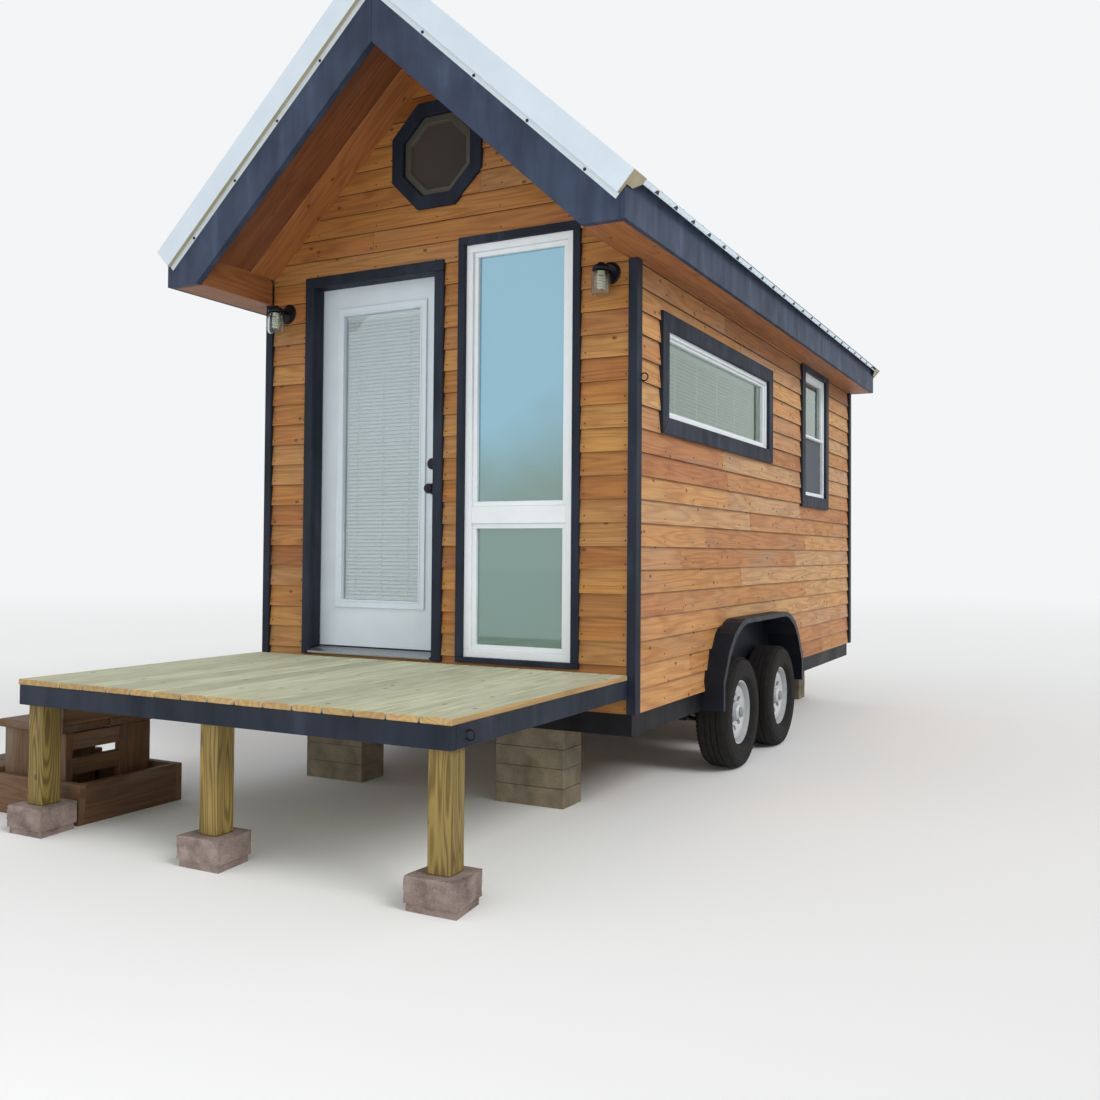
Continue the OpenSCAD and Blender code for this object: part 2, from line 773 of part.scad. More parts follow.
module octagon_trim() {
    color("#2e323b") difference() {
        union() {
            octagon_hole(octagon_w, 0, wall_y);
            octagon_hole(octagon_in, wall_y, wall_y + octagon_sleeve);
        }
        octagon_hole(octagon_in - 2 * octagon_sash, -eps, wall_y + octagon_sleeve + eps);
    }
}
module window_frames() {
    color("#eeeeea") {
        frame_xz(tall_left, tall_right, tall_z, tall_top, sash_w, sash_y, sash_y + sash_t);
        box([tall_left + sash_w, sash_y, tall_bar_z],
            [tall_right - sash_w, sash_y + sash_t, tall_bar_z + tall_bar_h]);
        both_sides() {
            frame_yz(wide_y, wide_z, wide_w, wide_h, wide_sash, sash_x - sash_t, sash_x);
            frame_yz(narrow_y, narrow_z, narrow_w, narrow_h, narrow_sash, sash_x - sash_t, sash_x);
            box([sash_x - sash_t, narrow_y + narrow_sash, narrow_z + narrow_h / 2 - rail_half],
                [sash_x, narrow_y + narrow_w - narrow_sash, narrow_z + narrow_h / 2 + rail_half]);
        }
    }
}
module window_glass() {
    near_y = sash_y + glass_in;
    side_x = sash_x - glass_in - glass_t;
    color("#9fc3d4", 0.5) {
        box([tall_left + sash_w, near_y, tall_z + sash_w], [tall_right - sash_w, near_y + glass_t, tall_bar_z]);
        box([tall_left + sash_w, near_y, tall_bar_z + tall_bar_h],
            [tall_right - sash_w, near_y + glass_t, tall_top - sash_w]);
        octagon_hole(octagon_in - 2 * octagon_sash, octagon_glass_y, octagon_glass_y + glass_t);
        both_sides() {
            box([side_x, wide_y + wide_sash, wide_z + wide_sash],
                [side_x + glass_t, wide_y + wide_w - wide_sash, wide_z + wide_h - wide_sash]);
            box([side_x, narrow_y + narrow_sash, narrow_z + narrow_sash],
                [side_x + glass_t, narrow_y + narrow_w - narrow_sash, narrow_z + narrow_h / 2 - rail_half]);
            box([side_x, narrow_y + narrow_sash, narrow_z + narrow_h / 2 + rail_half],
                [side_x + glass_t, narrow_y + narrow_w - narrow_sash, narrow_z + narrow_h - narrow_sash]);
        }
    }
}

// Door
module portal(left, right, low, high, border, from, to) {
    box([left - border, from, low], [left, to, high]);
    box([right, from, low], [right + border, to, high]);
    box([left - border, from, high + seam], [right + border, to, high + border]);
}
module door_jambs() {
    color("#2e323b") {
        portal(jamb_left, jamb_right, floor_z, jamb_top, jamb_t, wall_y, room_y);
        // Stops that the leaf closes against
        portal(stop_left, stop_right, sill_top, stop_top, stop_w - seam, wall_y, door_recess - door_gap);
    }
}
module door_casing() {
    color("#2e323b") portal(stop_left, stop_right, casing_low, stop_top, door_casing_w, 0, wall_y);
}
module door_sill() {
    nose_y = -15;
    low = floor_z - 8;
    rise_z = sill_top - 8;
    lip_z = floor_z + 2;
    color("#b9bcc0") {
        along(jamb_left, jamb_right) polygon([[wall_y, floor_z], [room_y, floor_z], [room_y, sill_top],
            [door_recess - door_gap, sill_top], [wall_y, rise_z]]);
        along(stop_left, stop_right) polygon([[nose_y, low], [wall_y, low], [wall_y, rise_z], [nose_y, lip_z]]);
    }
}
module door_leaf() {
    color("#eef0ef") {
        difference() {
            union() {
                box([door_left, door_recess, door_low], [door_right, leaf_back, door_top]);
                box([lite_left - lite_border, door_recess - 8, lite_low - lite_border],
                    [lite_left + lite_w + lite_border, leaf_back + 6, lite_low + lite_h + lite_border]);
            }
            box([lite_left, 0, lite_low], [lite_left + lite_w, leaf_back + 10, lite_low + lite_h]);
            // Bores for the two lock spindles
            for (z = [0, bolt_rise]) translate([door_right - backset, leaf_back + eps, door_low + knob_h + z])
                rotate([90, 0, 0]) cylinder(r = lock_r, h = door_t + 2 * eps);
        }
        // Hinge leaves with the middle knuckles
        for (z = hinge_heights) {
            box([door_left, leaf_back, z - knuckle_h / 2],
                [door_left + 34, leaf_back + hinge_t, z + knuckle_h / 2]);
            translate([pin_x, pin_y, z - knuckle_h / 2]) difference() {
                union() {
                    cylinder(r = knuckle_r, h = knuckle_h, $fn = 32);
                    translate([0, -knuckle_r, 0]) cube([door_gap, hinge_t, knuckle_h]);
                }
                translate([0, 0, -eps]) cylinder(r = pin_r + pin_gap, h = knuckle_h + 2 * eps, $fn = 32);
            }
        }
    }
}
module door_hinges() {
    plate_t = 2;
    color("#6d6f72") for (z = hinge_heights) {
        translate([pin_x, pin_y, z]) {
            cylinder(r = pin_r, h = knuckle_h * 3, center = true, $fn = 32);
            for (end = [-1, 1]) translate([0, 0, end * (knuckle_h + leaf_gap)])
                cylinder(r = knuckle_r, h = knuckle_h, center = true, $fn = 32);
        }
        // Leaves on the jamb, joined to the outer knuckles
        box([jamb_left, door_recess, z - knuckle_h * 1.5],
            [jamb_left + plate_t, leaf_back, z + knuckle_h * 1.5]);
        for (end = [-1, 1]) translate([jamb_left, leaf_back, z + end * (knuckle_h + leaf_gap) - knuckle_h / 2])
            cube([plate_t, knuckle_r, knuckle_h]);
    }
}
module door_glass() {
    mid = door_recess + door_t / 2;
    color("#b8cdd3", 0.5) box([lite_left, mid - glass_t / 2, lite_low],
        [lite_left + lite_w, mid + glass_t / 2, lite_low + lite_h]);
}
module door_handles() {
    color("#26262a") translate([door_right - backset, door_recess, door_low + knob_h]) {
        // Knobs outside and inside on one spindle, each with a plate against the leaf
        rotate([90, 0, 0]) {
            translate([0, 0, -door_t - 40]) cylinder(r = lock_r, h = door_t + 80);
            for (at = [0, -door_t - 8]) translate([0, 0, at]) cylinder(r = 32, h = 8);
            translate([0, 0, 30]) knob();
            translate([0, 0, -door_t - 30]) mirror([0, 0, 1]) knob();
            // Dead bolt, with its key plate outside and thumb turn inside
            translate([0, bolt_rise, 0]) {
                translate([0, 0, -door_t]) cylinder(r = lock_r, h = door_t);
                cylinder(r = 31, h = 20);
                translate([0, 0, -door_t - 8]) cylinder(r = 31, h = 8);
                translate([-5, -16, -door_t - 24]) cube([10, 32, 16]);
            }
        }
    }
}
module knob() {
    rotate_extrude() polygon([[0, 0], [15, 0], [25, 8], [28, 18], [25, 28], [12, 34], [0, 35]]);
}

// Roof
module rafter_outline() {
    inner_x = fascia_x - fascia_t;
    polygon([[0, ridge_z], [inner_x, roof_at(inner_x)], [inner_x, rafter_low],
        [x_at(rafter_low, roof_t), rafter_low], [0, roof_at(0, roof_t)]]);
}
module roof_slab() {
    across(roof_y, roof_rear_y) rafter_outline();
    // Inside lining of the cabin
    across(wall_y, rear_wall_y) polygon([[0, roof_at(0, roof_t)], [wall_x, roof_at(wall_x, roof_t)],
        [wall_x, roof_at(wall_x, lining_t)], [0, roof_at(0, lining_t)]]);
}
module roof_left() {
    color("#8f6a43") mirror([1, 0, 0]) roof_slab();
}
module roof_right() {
    color("#8f6a43") roof_slab();
}
// Cross section of the metal sheet along the house: main ribs with two small ones between
function rib_points(y, lift) = [[y - rib_foot / 2, lift], [y - rib_top / 2, lift + rib_h],
    [y + rib_top / 2, lift + rib_h], [y + rib_foot / 2, lift]];
function bead_points(y, lift) = [[y - bead_w / 2, lift], [y - bead_w / 4, lift + bead_h],
    [y + bead_w / 4, lift + bead_h], [y + bead_w / 2, lift]];
// Lays a profile drawn in Y and height along the right slope, from the ridge down
module down_slope(run) {
    lead = trim_top * tan(pitch) + eps;
    translate([0, 0, ridge_z]) rotate([0, pitch, 0]) difference() {
        translate([-lead, 0, 0]) rotate([90, 0, 90]) linear_extrude(run + lead) children();
        // Plumb joint at the ridge
        rotate([0, -pitch, 0]) translate([mitre - house_w, -house_l, -house_w])
            cube([house_w, 3 * house_l, 2 * house_w]);
    }
}
module roofing_sheet() {
    low = seam;
    high = seam + sheet_t;
    down_slope(metal_run) polygon(concat(
        [[metal_y, low], [metal_y, high]],
        [for (i = [0:rib_count]) each concat(rib_points(rib_start + i * rib_pitch, high),
            i == rib_count ? [] : concat(
                bead_points(rib_start + (i + 1 / 3) * rib_pitch, high),
                bead_points(rib_start + (i + 2 / 3) * rib_pitch, high)))],
        [[metal_rear_y, high], [metal_rear_y, low]]));
}
module roofing_left() {
    color("#dfe6ea") mirror([1, 0, 0]) roofing_sheet();
}
module roofing_right() {
    color("#dfe6ea") roofing_sheet();
}
module ridge_cap() {
    color("#dfe6ea") both_sides() down_slope(cap_w) polygon([[metal_y, metal_top + seam],
        [metal_rear_y, metal_top + seam], [metal_rear_y, cap_top], [metal_y, cap_top]]);
}
// Bent gable trim: a flange over the ribs, a face that stands off, a step back, and a flange on the board
module rake_profile(front_y, back_y) {
    face_y = front_y - rake_stand;
    low = metal_top - rake_face;
    step = low + rake_flange;
    polygon([[back_y, trim_top], [face_y, trim_top], [face_y, step], [front_y - bent_t, step],
        [front_y - bent_t, low], [front_y - seam, low], [front_y - seam, step + bent_t],
        [face_y + bent_t, step + bent_t], [face_y + bent_t, cap_top + seam], [back_y, cap_top + seam]]);
}
module rake_trims() {
    face_y = gable_y - rake_stand;
    step = metal_top - rake_face + rake_flange;
    color("#eef2f4") both_sides() for (flip = [0, 1])
        translate([0, flip * (gable_y + gable_rear_y), 0]) mirror([0, flip, 0]) {
            down_slope(trim_run) rake_profile(gable_y, gable_y + rake_top);
            // Tab folded over the open lower end
            translate([0, 0, ridge_z]) rotate([0, pitch, 0]) translate([trim_run - bent_t, 0, 0])
                rotate([90, 0, 90]) linear_extrude(bent_t) polygon([
                    [face_y, trim_top], [face_y, step], [gable_y - seam, step], [gable_y - seam, -tab_deep],
                    [gable_y + tab_l, -tab_deep], [gable_y + rake_top, -seam], [gable_y + rake_top, trim_top]]);
        }
}
module barge() {
    low_x = x_at(soffit_z, barge_w);
    inner_x = fascia_x - fascia_t;
    polygon([[mitre, roof_at(mitre)], [inner_x, roof_at(inner_x)], [inner_x, soffit_z],
        [low_x, soffit_z], [mitre, roof_at(mitre, barge_w)]]);
}
module bargeboards() {
    color("#2e323b") both_sides() {
        across(gable_y, gable_y + barge_t) barge();
        across(gable_rear_y - barge_t, gable_rear_y) barge();
    }
}
module fascias() {
    color("#2e323b") both_sides() across(gable_y, gable_rear_y) polygon([
        [fascia_x - fascia_t, soffit_z], [fascia_x, soffit_z], [fascia_x, roof_at(fascia_x)],
        [fascia_x - fascia_t, roof_at(fascia_x - fascia_t)]]);
}
module eave_soffits() {
    color("#a5623a") both_sides() {
        box([wall_x, 0, soffit_z], [fascia_x - fascia_t, roof_rear_y, rafter_low]);
    }
}
module overhang_soffit() {
    color("#a5623a") both_sides() {
        // Sloping boards under the front overhang
        across(roof_y, wall_y) polygon([[mitre, roof_at(mitre, roof_t + seam)],
            [siding_in, roof_at(siding_in, roof_t + seam)], [siding_in, roof_at(siding_in, lining_t)],
            [mitre, roof_at(mitre, lining_t)]]);
        // Board that closes the inner side of the boxed eave end, and the bottom of the box
        end_x = siding_in + soffit_t;
        across(roof_y, 0) polygon([[siding_in + seam, soffit_z], [end_x, soffit_z],
            [end_x, roof_at(end_x, roof_t + seam)],
            [siding_in + seam, roof_at(siding_in + seam, roof_t + seam)]]);
        box([end_x + seam, roof_y, soffit_z], [fascia_x - fascia_t, 0, rafter_low]);
    }
}

// Deck
module deck_floor() {
    over = 10;
    start = deck_right - board_count * board_pitch + board_gap;
    color("#b9b79a") for (i = [0:board_count - 1]) {
        left = i == 0 ? deck_left : start + i * board_pitch;
        box([left, -deck_d, deck_frame_z], [start + i * board_pitch + board_w, -over, deck_z]);
    }
}
module deck_rims() {
    color("#2e323b") {
        box([rim_left, rim_y, deck_low], [rim_right, rim_y + rim_t, deck_frame_z]);
        for (x = [rim_left, rim_right - rim_t])
            box([x, rim_y + rim_t + seam, deck_low], [x + rim_t, 0, deck_frame_z]);
    }
}
module deck_joists() {
    y0 = rim_y + rim_t;
    span = -y0;
    joist_t = 38;
    count = round(span / joist_pitch);
    color("#b5ad7c") for (i = [0:count]) {
        y = y0 + i * (span - joist_t) / count;
        box([rim_left + rim_t, y, deck_low], [rim_right - rim_t, y + joist_t, deck_frame_z]);
    }
}
module deck_posts() {
    color("#b8a667") for (x = post_xs) box([x, post_y, post_low], [x + post_w, post_y + post_w, post_top]);
}
// Garden-wall block, narrower at the back
module wedge_block(inset) {
    w = block_w / 2 - inset;
    d = block_d / 2 - inset;
    polygon([[-w, -d], [w, -d], [w - 23, d], [-w + 23, d]]);
}
module post_blocks() {
    color("#a79a90") for (x = post_xs) {
        mid = x + post_w / 2;
        translate([mid, post_mid_y, pad_h]) linear_extrude(block_h) wedge_block(0);
        translate([mid, post_mid_y, 0]) linear_extrude(pad_h) wedge_block(8);
    }
}
module piers() {
    color("#a8a296") translate([-pier_off, 0, 0]) both_sides() for (y = [wall_y + 5, rear_wall_y - 5 - pier_d])
        box([pier_x - pier_w / 2, y, 0], [pier_x + pier_w / 2, y + pier_d, frame_low]);
}

// Steps at the left end of the deck
module steps() {
    low = tread_z - plank_t;
    near = step_near + plank_t;
    far = step_near + step_w - plank_t - step_in;
    color("#a9713f") {
        // Planks on end: across at the near end, along at the far end
        for (x = [step_right - step_post_w, step_left])
            box([x, near, 0], [x + step_post_w, near + plank_t, low - seam]);
        for (x = [step_right - plank_t, step_left]) {
            box([x, far - step_post_w, 0], [x + plank_t, far, low - seam]);
            // Rails between them
            for (z = [low - 85, low - 205])
                box([x, near + plank_t + seam, z], [x + plank_t, far - step_post_w - seam, z + 80]);
        }
        // Riser against the deck's left rim
        box([step_right - plank_t, near - tread_over, tread_z + seam],
            [step_right - seam, far + tread_over, deck_frame_z]);
        // Two planks of the upper tread
        tread_w = (far - near + 2 * tread_over - 8) / 2;
        for (y = [near - tread_over, far + tread_over - tread_w])
            box([step_left - tread_over, y, low], [step_right - seam, y + tread_w, tread_z]);
    }
}
module step_box() {
    right = deck_left + step_under;
    left = right - step_l;
    far = step_near + step_w;
    color("#8a6a4a") {
        // Long boards at the front and back, short ones between them
        for (y = [step_near, far - plank_t]) box([left, y, 0], [right, y + plank_t, step_h - seam]);
        for (x = [left, right - plank_t])
            box([x, step_near + plank_t + seam, 0], [x + plank_t, far - plank_t - seam, step_h - seam]);
        // Planks of the lower tread
        plank_w = (step_left - left - 10) / 2;
        for (i = [0, 1]) box([left + i * (plank_w + 5), step_near, step_h],
            [left + i * (plank_w + 5) + plank_w, far, step_h + board_t]);
    }
}

// Wall lights
module light_brackets() {
    plate_t = 28;
    cap_h = 26;
    color("#23242a") for (side = [-1, 1]) translate([side * light_x, 0, light_z]) {
        translate([0, wall_y, 0]) rotate([90, 0, 0]) cylinder(d = plate_d, h = plate_t);
        // Arm from the plate into the cap over the jar
        translate([0, wall_y - plate_t, 6]) rotate([90, 0, 0]) cylinder(r = 10, h = light_reach - 4);
        translate([0, -light_reach, -cap_drop]) {
            cylinder(d = jar_d - 8, h = cap_h);
            translate([0, 0, cap_h]) cylinder(r = 16, h = 10);
        }
    }
}
module light_jars() {
    wall = 14;
    neck_r = jar_d / 2 - 10;
    color("#dfe9ea", 0.5) for (side = [-1, 1]) translate([side * light_x, -light_reach, light_z - cap_drop]) {
        difference() {
            rotate_extrude() polygon([[0, -jar_h], [jar_d / 2 - 8, -jar_h], [jar_d / 2, -jar_h + 10],
                [jar_d / 2, -30], [neck_r, -10], [neck_r, 0], [0, 0]]);
            translate([0, 0, -jar_h + 5]) cylinder(r = jar_d / 2 - wall, h = jar_h - 20);
        }
    }
}

placed() frame_rails();
placed() frame_crossmembers();
placed() tongue();
placed() coupler();
placed() tongue_jack();
placed() axles();
placed() leaf_springs();
placed() fenders();
placed() at_wheel(-1, 0) tyre();  // tyre_front_left
placed() at_wheel(1, 0) tyre();  // tyre_front_right
placed() at_wheel(-1, 1) tyre();  // tyre_rear_left
placed() at_wheel(1, 1) tyre();  // tyre_rear_right
placed() at_wheel(-1, 0) rim();  // rim_front_left
placed() at_wheel(1, 0) rim();  // rim_front_right
placed() at_wheel(-1, 1) rim();  // rim_rear_left
placed() at_wheel(1, 1) rim();  // rim_rear_right
placed() piers();
placed() floor();
placed() front_wall_left();
placed() front_wall_middle();
placed() front_wall_right();
placed() front_gable();
placed() rear_wall();
placed() left_wall();
placed() right_wall();
placed() front_siding();
placed() side_siding();
placed() rear_siding();
placed() corner_trims();
placed() window_casings();
placed() window_frames();
placed() octagon_trim();
placed() window_glass();
placed() door_jambs();
placed() door_casing();
placed() door_sill();
placed() door_leaf();
placed() door_glass();
placed() door_handles();
placed() door_hinges();
placed() roof_left();
placed() roof_right();
placed() roofing_left();
placed() roofing_right();
placed() ridge_cap();
placed() rake_trims();
placed() bargeboards();
placed() fascias();
placed() eave_soffits();
placed() overhang_soffit();
placed() deck_floor();
placed() deck_rims();
placed() deck_joists();
placed() deck_posts();
placed() post_blocks();
placed() steps();
placed() step_box();
placed() light_brackets();
placed() light_jars();
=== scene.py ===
import math
import random

import bmesh
import bpy
from mathutils import Matrix, Vector, noise


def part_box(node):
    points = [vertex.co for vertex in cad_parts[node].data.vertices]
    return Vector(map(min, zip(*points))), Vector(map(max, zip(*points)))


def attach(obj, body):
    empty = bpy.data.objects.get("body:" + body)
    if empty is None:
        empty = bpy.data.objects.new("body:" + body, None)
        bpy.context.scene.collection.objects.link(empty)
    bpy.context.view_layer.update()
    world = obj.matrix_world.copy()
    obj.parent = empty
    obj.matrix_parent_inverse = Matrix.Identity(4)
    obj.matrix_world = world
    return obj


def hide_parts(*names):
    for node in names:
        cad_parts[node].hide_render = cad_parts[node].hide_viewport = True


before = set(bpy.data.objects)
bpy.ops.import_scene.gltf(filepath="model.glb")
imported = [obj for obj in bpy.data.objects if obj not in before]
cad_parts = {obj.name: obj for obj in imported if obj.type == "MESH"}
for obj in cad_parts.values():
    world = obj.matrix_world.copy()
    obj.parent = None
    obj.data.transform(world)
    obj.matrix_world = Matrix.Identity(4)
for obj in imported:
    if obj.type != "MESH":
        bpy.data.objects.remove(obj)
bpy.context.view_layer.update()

MM = 0.001
trim_low, trim_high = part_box("corner_trims")
# The middle of the front at ground level, from which every place below is measured in millimetres
HOUSE = Vector(((trim_low[0] + trim_high[0]) / 2, trim_low[1], 0.0))
ALONG_X, ALONG_Y, ALONG_Z = Vector((1, 0, 0)), Vector((0, 1, 0)), Vector((0, 0, 1))
draw = random.Random(41)


def at(x, y, z):
    """A point in metres from its place in millimetres: right of the middle, back from the front, up."""
    return HOUSE + Vector((x, y, z)) * MM


# Camera
def aim_camera():
    """The camera stands in front of the deck's right end and looks back to the left."""
    data = bpy.data.cameras.new("camera")
    data.sensor_width = 36
    data.lens = 33.7824
    data.shift_x = -0.035475
    data.shift_y = -0.017497
    data.clip_end = 200
    camera = bpy.data.objects.new("camera", data)
    bpy.context.scene.collection.objects.link(camera)
    right = Vector((0.89472929, 0.44655928, 0.00665548))
    down = Vector((-0.0036806, 0.02227458, -0.99974512))
    ahead = Vector((-0.44659371, 0.89447675, 0.02157333))
    turn = Matrix((right, -down, -ahead)).transposed().to_4x4()
    camera.matrix_world = Matrix.Translation(at(3216.18, -4559.18, 1285.72)) @ turn
    bpy.context.scene.camera = camera


aim_camera()


# Materials. Noise scales are in waves a metre, so 11.0 gives patches some 90 mm wide
def colour(text):
    """Linear red, green, blue and alpha from an sRGB hex value."""
    levels = [int(text[i:i + 2], 16) / 255 for i in (0, 2, 4)]
    return [v / 12.92 if v <= 0.04045 else ((v + 0.055) / 1.055) ** 2.4 for v in levels] + [1.0]


def feed(tree, node, feeds):
    """Gives a node's inputs their values, or the sockets that drive them."""
    for key, value in feeds.items():
        if isinstance(value, bpy.types.NodeSocket):
            tree.links.new(value, node.inputs[key])
        else:
            node.inputs[key].default_value = value


def add(tree, kind, feeds=None, stops=(), out=None, **settings):
    """Adds one shader node with its settings and inputs, and returns one of its outputs.

    stops gives the (place, hex) points of a colour ramp; out names the output, and without it the first one
    in use is returned.
    """
    node = tree.nodes.new("ShaderNode" + kind)
    for name, value in settings.items():
        setattr(node, name, value)
    feed(tree, node, feeds or {})
    if stops:
        points = node.color_ramp.elements
        while len(points) < len(stops):
            points.new(0.5)
        for point, (place, text) in zip(points, stops):
            point.position = place
            point.color = colour(text)
    return node.outputs[out] if out else next(socket for socket in node.outputs if socket.enabled)


def material(name, **values):
    """A new material with its node tree and shader; values go to the shader's sockets, _ for a space."""
    made = bpy.data.materials.new(name)
    made.use_nodes = True
    shader = made.node_tree.nodes["Principled BSDF"]
    for key, value in values.items():
        shader.inputs[key.replace("_", " ")].default_value = value
    return made, made.node_tree, shader


def wood(name, tones, late, knot="5e3216", grey="8f8578", greyness=0.3, rough=0.62, ring=0.3, bump=0.4,
         rings=46.0):
    """Solid wood read from each board's own coordinates: x runs with the grain, in metres.

    tones are the colours that whole boards take; late is what the rings and streaks darken towards;
    rings is how closely the rings lie, and 46 puts them some 10 mm apart.
    """
    made, tree, shader = material(name, Roughness=rough)
    board = add(tree, "Attribute", attribute_name="grain", out="Vector")
    tone = add(tree, "Attribute", attribute_name="tone", out="Fac")
    # Noise drawn out along the grain: the slow wander of the rings, the fibres 1 to 3 mm across and
    # hundreds long, the clouds of resin and water marks some 200 mm long, and the patches weathered grey
    noises = []
    for stretch, detail, soft in (((0.9, 11.0, 11.0), 1.0, 0.5), ((4.0, 210.0, 210.0), 3.0, 0.6),
                                  ((5.0, 9.0, 9.0), 4.0, 0.5), ((1.6, 7.0, 7.0), 5.0, 0.5)):
        place = add(tree, "Mapping", {"Vector": board, "Scale": stretch})
        noises.append(add(tree, "TexNoise", {"Vector": place, "Scale": 1.0, "Detail": detail,
                                             "Roughness": soft}))
    wander, fibre, cloud, patch = noises
    lift = add(tree, "Math", {0: wander, 1: rings}, operation="MULTIPLY")
    wave = add(tree, "Math", {0: lift}, operation="SINE")
    # Knots, 10 to 25 mm across, with a dark heart
    flat = add(tree, "Mapping", {"Vector": board, "Scale": (2.6, 4.2, 0.2)})
    spot = add(tree, "TexVoronoi", {"Vector": flat, "Scale": 1.0}, voronoi_dimensions="2D")
    bands, spread, stain, worn, knots = [
        add(tree, "MapRange", {"Value": value, "From Min": low, "From Max": high, "To Min": first,
                               "To Max": last}, interpolation_type=curve)
        for value, low, high, first, last, curve in (
            (wave, -0.4, 1.0, 0.0, ring, "LINEAR"), (fibre, 0.3, 0.7, 0.25, 0.75, "LINEAR"),
            (cloud, 0.5, 0.85, 0.0, 0.35, "LINEAR"), (patch, 0.52, 0.8, 0.0, greyness, "LINEAR"),
            (spot, 0.016, 0.055, 0.9, 0.0, "SMOOTHSTEP"))]
    steps = len(tones) - 1
    tint = add(tree, "ValToRGB", {"Fac": tone}, [(i / steps, text) for i, text in enumerate(tones)])
    for share, over, blend in ((bands, colour(late), "MULTIPLY"), (0.4, spread, "OVERLAY"),
                               (stain, colour(late), "MULTIPLY"), (worn, colour(grey), "MIX"),
                               (knots, colour(knot), "MIX")):
        tint = add(tree, "Mix", {0: share, 6: tint, 7: over}, data_type="RGBA", blend_type=blend)
    relief = add(tree, "Bump", {"Height": fibre, "Strength": bump, "Distance": 0.0012})
    feed(tree, shader, {"Base Color": tint, "Normal": relief})
    return made


def painted(name, base, shade, rough=0.5, skin=60.0, worn=None):
    """Satin paint with faint weather streaks, on boards or on steel; worn is the colour of pale scuffs."""
    made, tree, shader = material(name, Specular_IOR_Level=0.2)
    place = add(tree, "TexCoord", out="Object")
    broad = add(tree, "TexNoise", {"Vector": place, "Scale": 2.2, "Detail": 5.0, "Roughness": 0.6})
    tall = add(tree, "Mapping", {"Vector": place, "Scale": (11.0, 11.0, 2.4)})
    runs = add(tree, "TexNoise", {"Vector": tall, "Scale": 1.0, "Detail": 5.0})
    both = add(tree, "Math", {0: broad, 1: runs}, operation="MULTIPLY")
    tint = add(tree, "ValToRGB", {"Fac": both}, [(0.14, shade), (0.4, base)])
    if worn:
        streaky = add(tree, "MapRange", {"Value": runs, "From Min": 0.62, "From Max": 0.8, "To Max": 0.25})
        tint = add(tree, "Mix", {0: streaky, 6: tint, 7: colour(worn)}, data_type="RGBA")
    dull = add(tree, "MapRange", {"Value": both, "From Min": 0.1, "From Max": 0.45, "To Min": rough + 0.12,
                                  "To Max": rough - 0.06})
    pebble = add(tree, "TexNoise", {"Vector": place, "Scale": skin, "Detail": 4.0})
    relief = add(tree, "Bump", {"Height": pebble, "Strength": 0.12, "Distance": 0.001})
    feed(tree, shader, {"Base Color": tint, "Roughness": dull, "Normal": relief})
    return made


def concrete(name, pale, dark, speck, depth=2.0):
    """Cast concrete: blotches, sand grains and small pits; depth is the roughness in millimetres."""
    made, tree, shader = material(name, Roughness=0.9)
    place = add(tree, "TexCoord", out="Object")
    blotch = add(tree, "TexNoise", {"Vector": place, "Scale": 9.0, "Detail": 6.0, "Roughness": 0.65})
    sand = add(tree, "TexNoise", {"Vector": place, "Scale": 260.0, "Detail": 2.0})
    base = add(tree, "ValToRGB", {"Fac": blotch}, [(0.34, dark), (0.66, pale)])
    specks = add(tree, "MapRange", {"Value": sand, "From Min": 0.56, "From Max": 0.7, "To Max": 0.55})
    tint = add(tree, "Mix", {0: specks, 6: base, 7: colour(speck)}, data_type="RGBA")
    height = add(tree, "Math", {0: blotch, 1: sand}, operation="ADD")
    relief = add(tree, "Bump", {"Height": height, "Strength": 0.7, "Distance": depth * MM})
    feed(tree, shader, {"Base Color": tint, "Normal": relief})
    return made


def plain(name, base, rough=0.5, metallic=0.0, mottle=0.12, scale=30.0, bump=0.1, **values):
    """A nearly even finish with slight mottling."""
    made, tree, shader = material(name, Roughness=rough, Metallic=metallic, **values)
    place = add(tree, "TexCoord", out="Object")
    cloud = add(tree, "TexNoise", {"Vector": place, "Scale": scale, "Detail": 4.0})
    amount = add(tree, "MapRange", {"Value": cloud, "From Min": 0.3, "From Max": 0.7,
                                    "To Min": 1.0 - mottle})
    tint = add(tree, "Mix", {0: 1.0, 6: colour(base), 7: amount}, data_type="RGBA", blend_type="MULTIPLY")
    relief = add(tree, "Bump", {"Height": cloud, "Strength": bump, "Distance": 0.001})
    feed(tree, shader, {"Base Color": tint, "Normal": relief})
    return made


def glazing(name, body, painted_sky_reflection, painted_ground_reflection, clear, gloss=0.3):
    """Window glass: partly see-through, with a painted reflection of a soft sky in its gloss, which darkens
    towards a ground colour below.
    """
    made, tree, shader = material(name, Base_Color=colour(body), Roughness=0.1)
    place = add(tree, "TexCoord", out="Object")
    height = add(tree, "SeparateXYZ", {0: place}, out="Z")
    ripple = add(tree, "TexNoise", {"Vector": place, "Scale": 1.3, "Detail": 3.0})
    wavy = add(tree, "Math", {0: ripple, 1: 0.9, 2: height}, operation="MULTIPLY_ADD")
    # The painted reflection: the ground colour below some 2 m, the sky colour above, along a wavy line
    share = add(tree, "MapRange", {"Value": wavy, "From Min": 2.0, "From Max": 2.45})
    tint = add(tree, "Mix", {0: share, 6: colour(painted_ground_reflection), 7: colour(painted_sky_reflection)}, data_type="RGBA")
    see = add(tree, "BsdfTransparent", {"Color": colour(body)})
    seen = add(tree, "MixShader", {0: clear, 1: shader.outputs["BSDF"], 2: see})
    shine = add(tree, "BsdfGlossy", {"Color": tint, "Roughness": 0.03})
    facing = add(tree, "LayerWeight", {"Blend": 0.5}, out="Facing")
    edge = add(tree, "Math", {0: facing, 1: 5.0}, operation="POWER")
    strength = add(tree, "Math", {0: edge, 1: gloss}, operation="ADD")
    both = add(tree, "MixShader", {0: strength, 1: seen, 2: shine})
    feed(tree, tree.nodes["Material Output"], {"Surface": both})
    return made


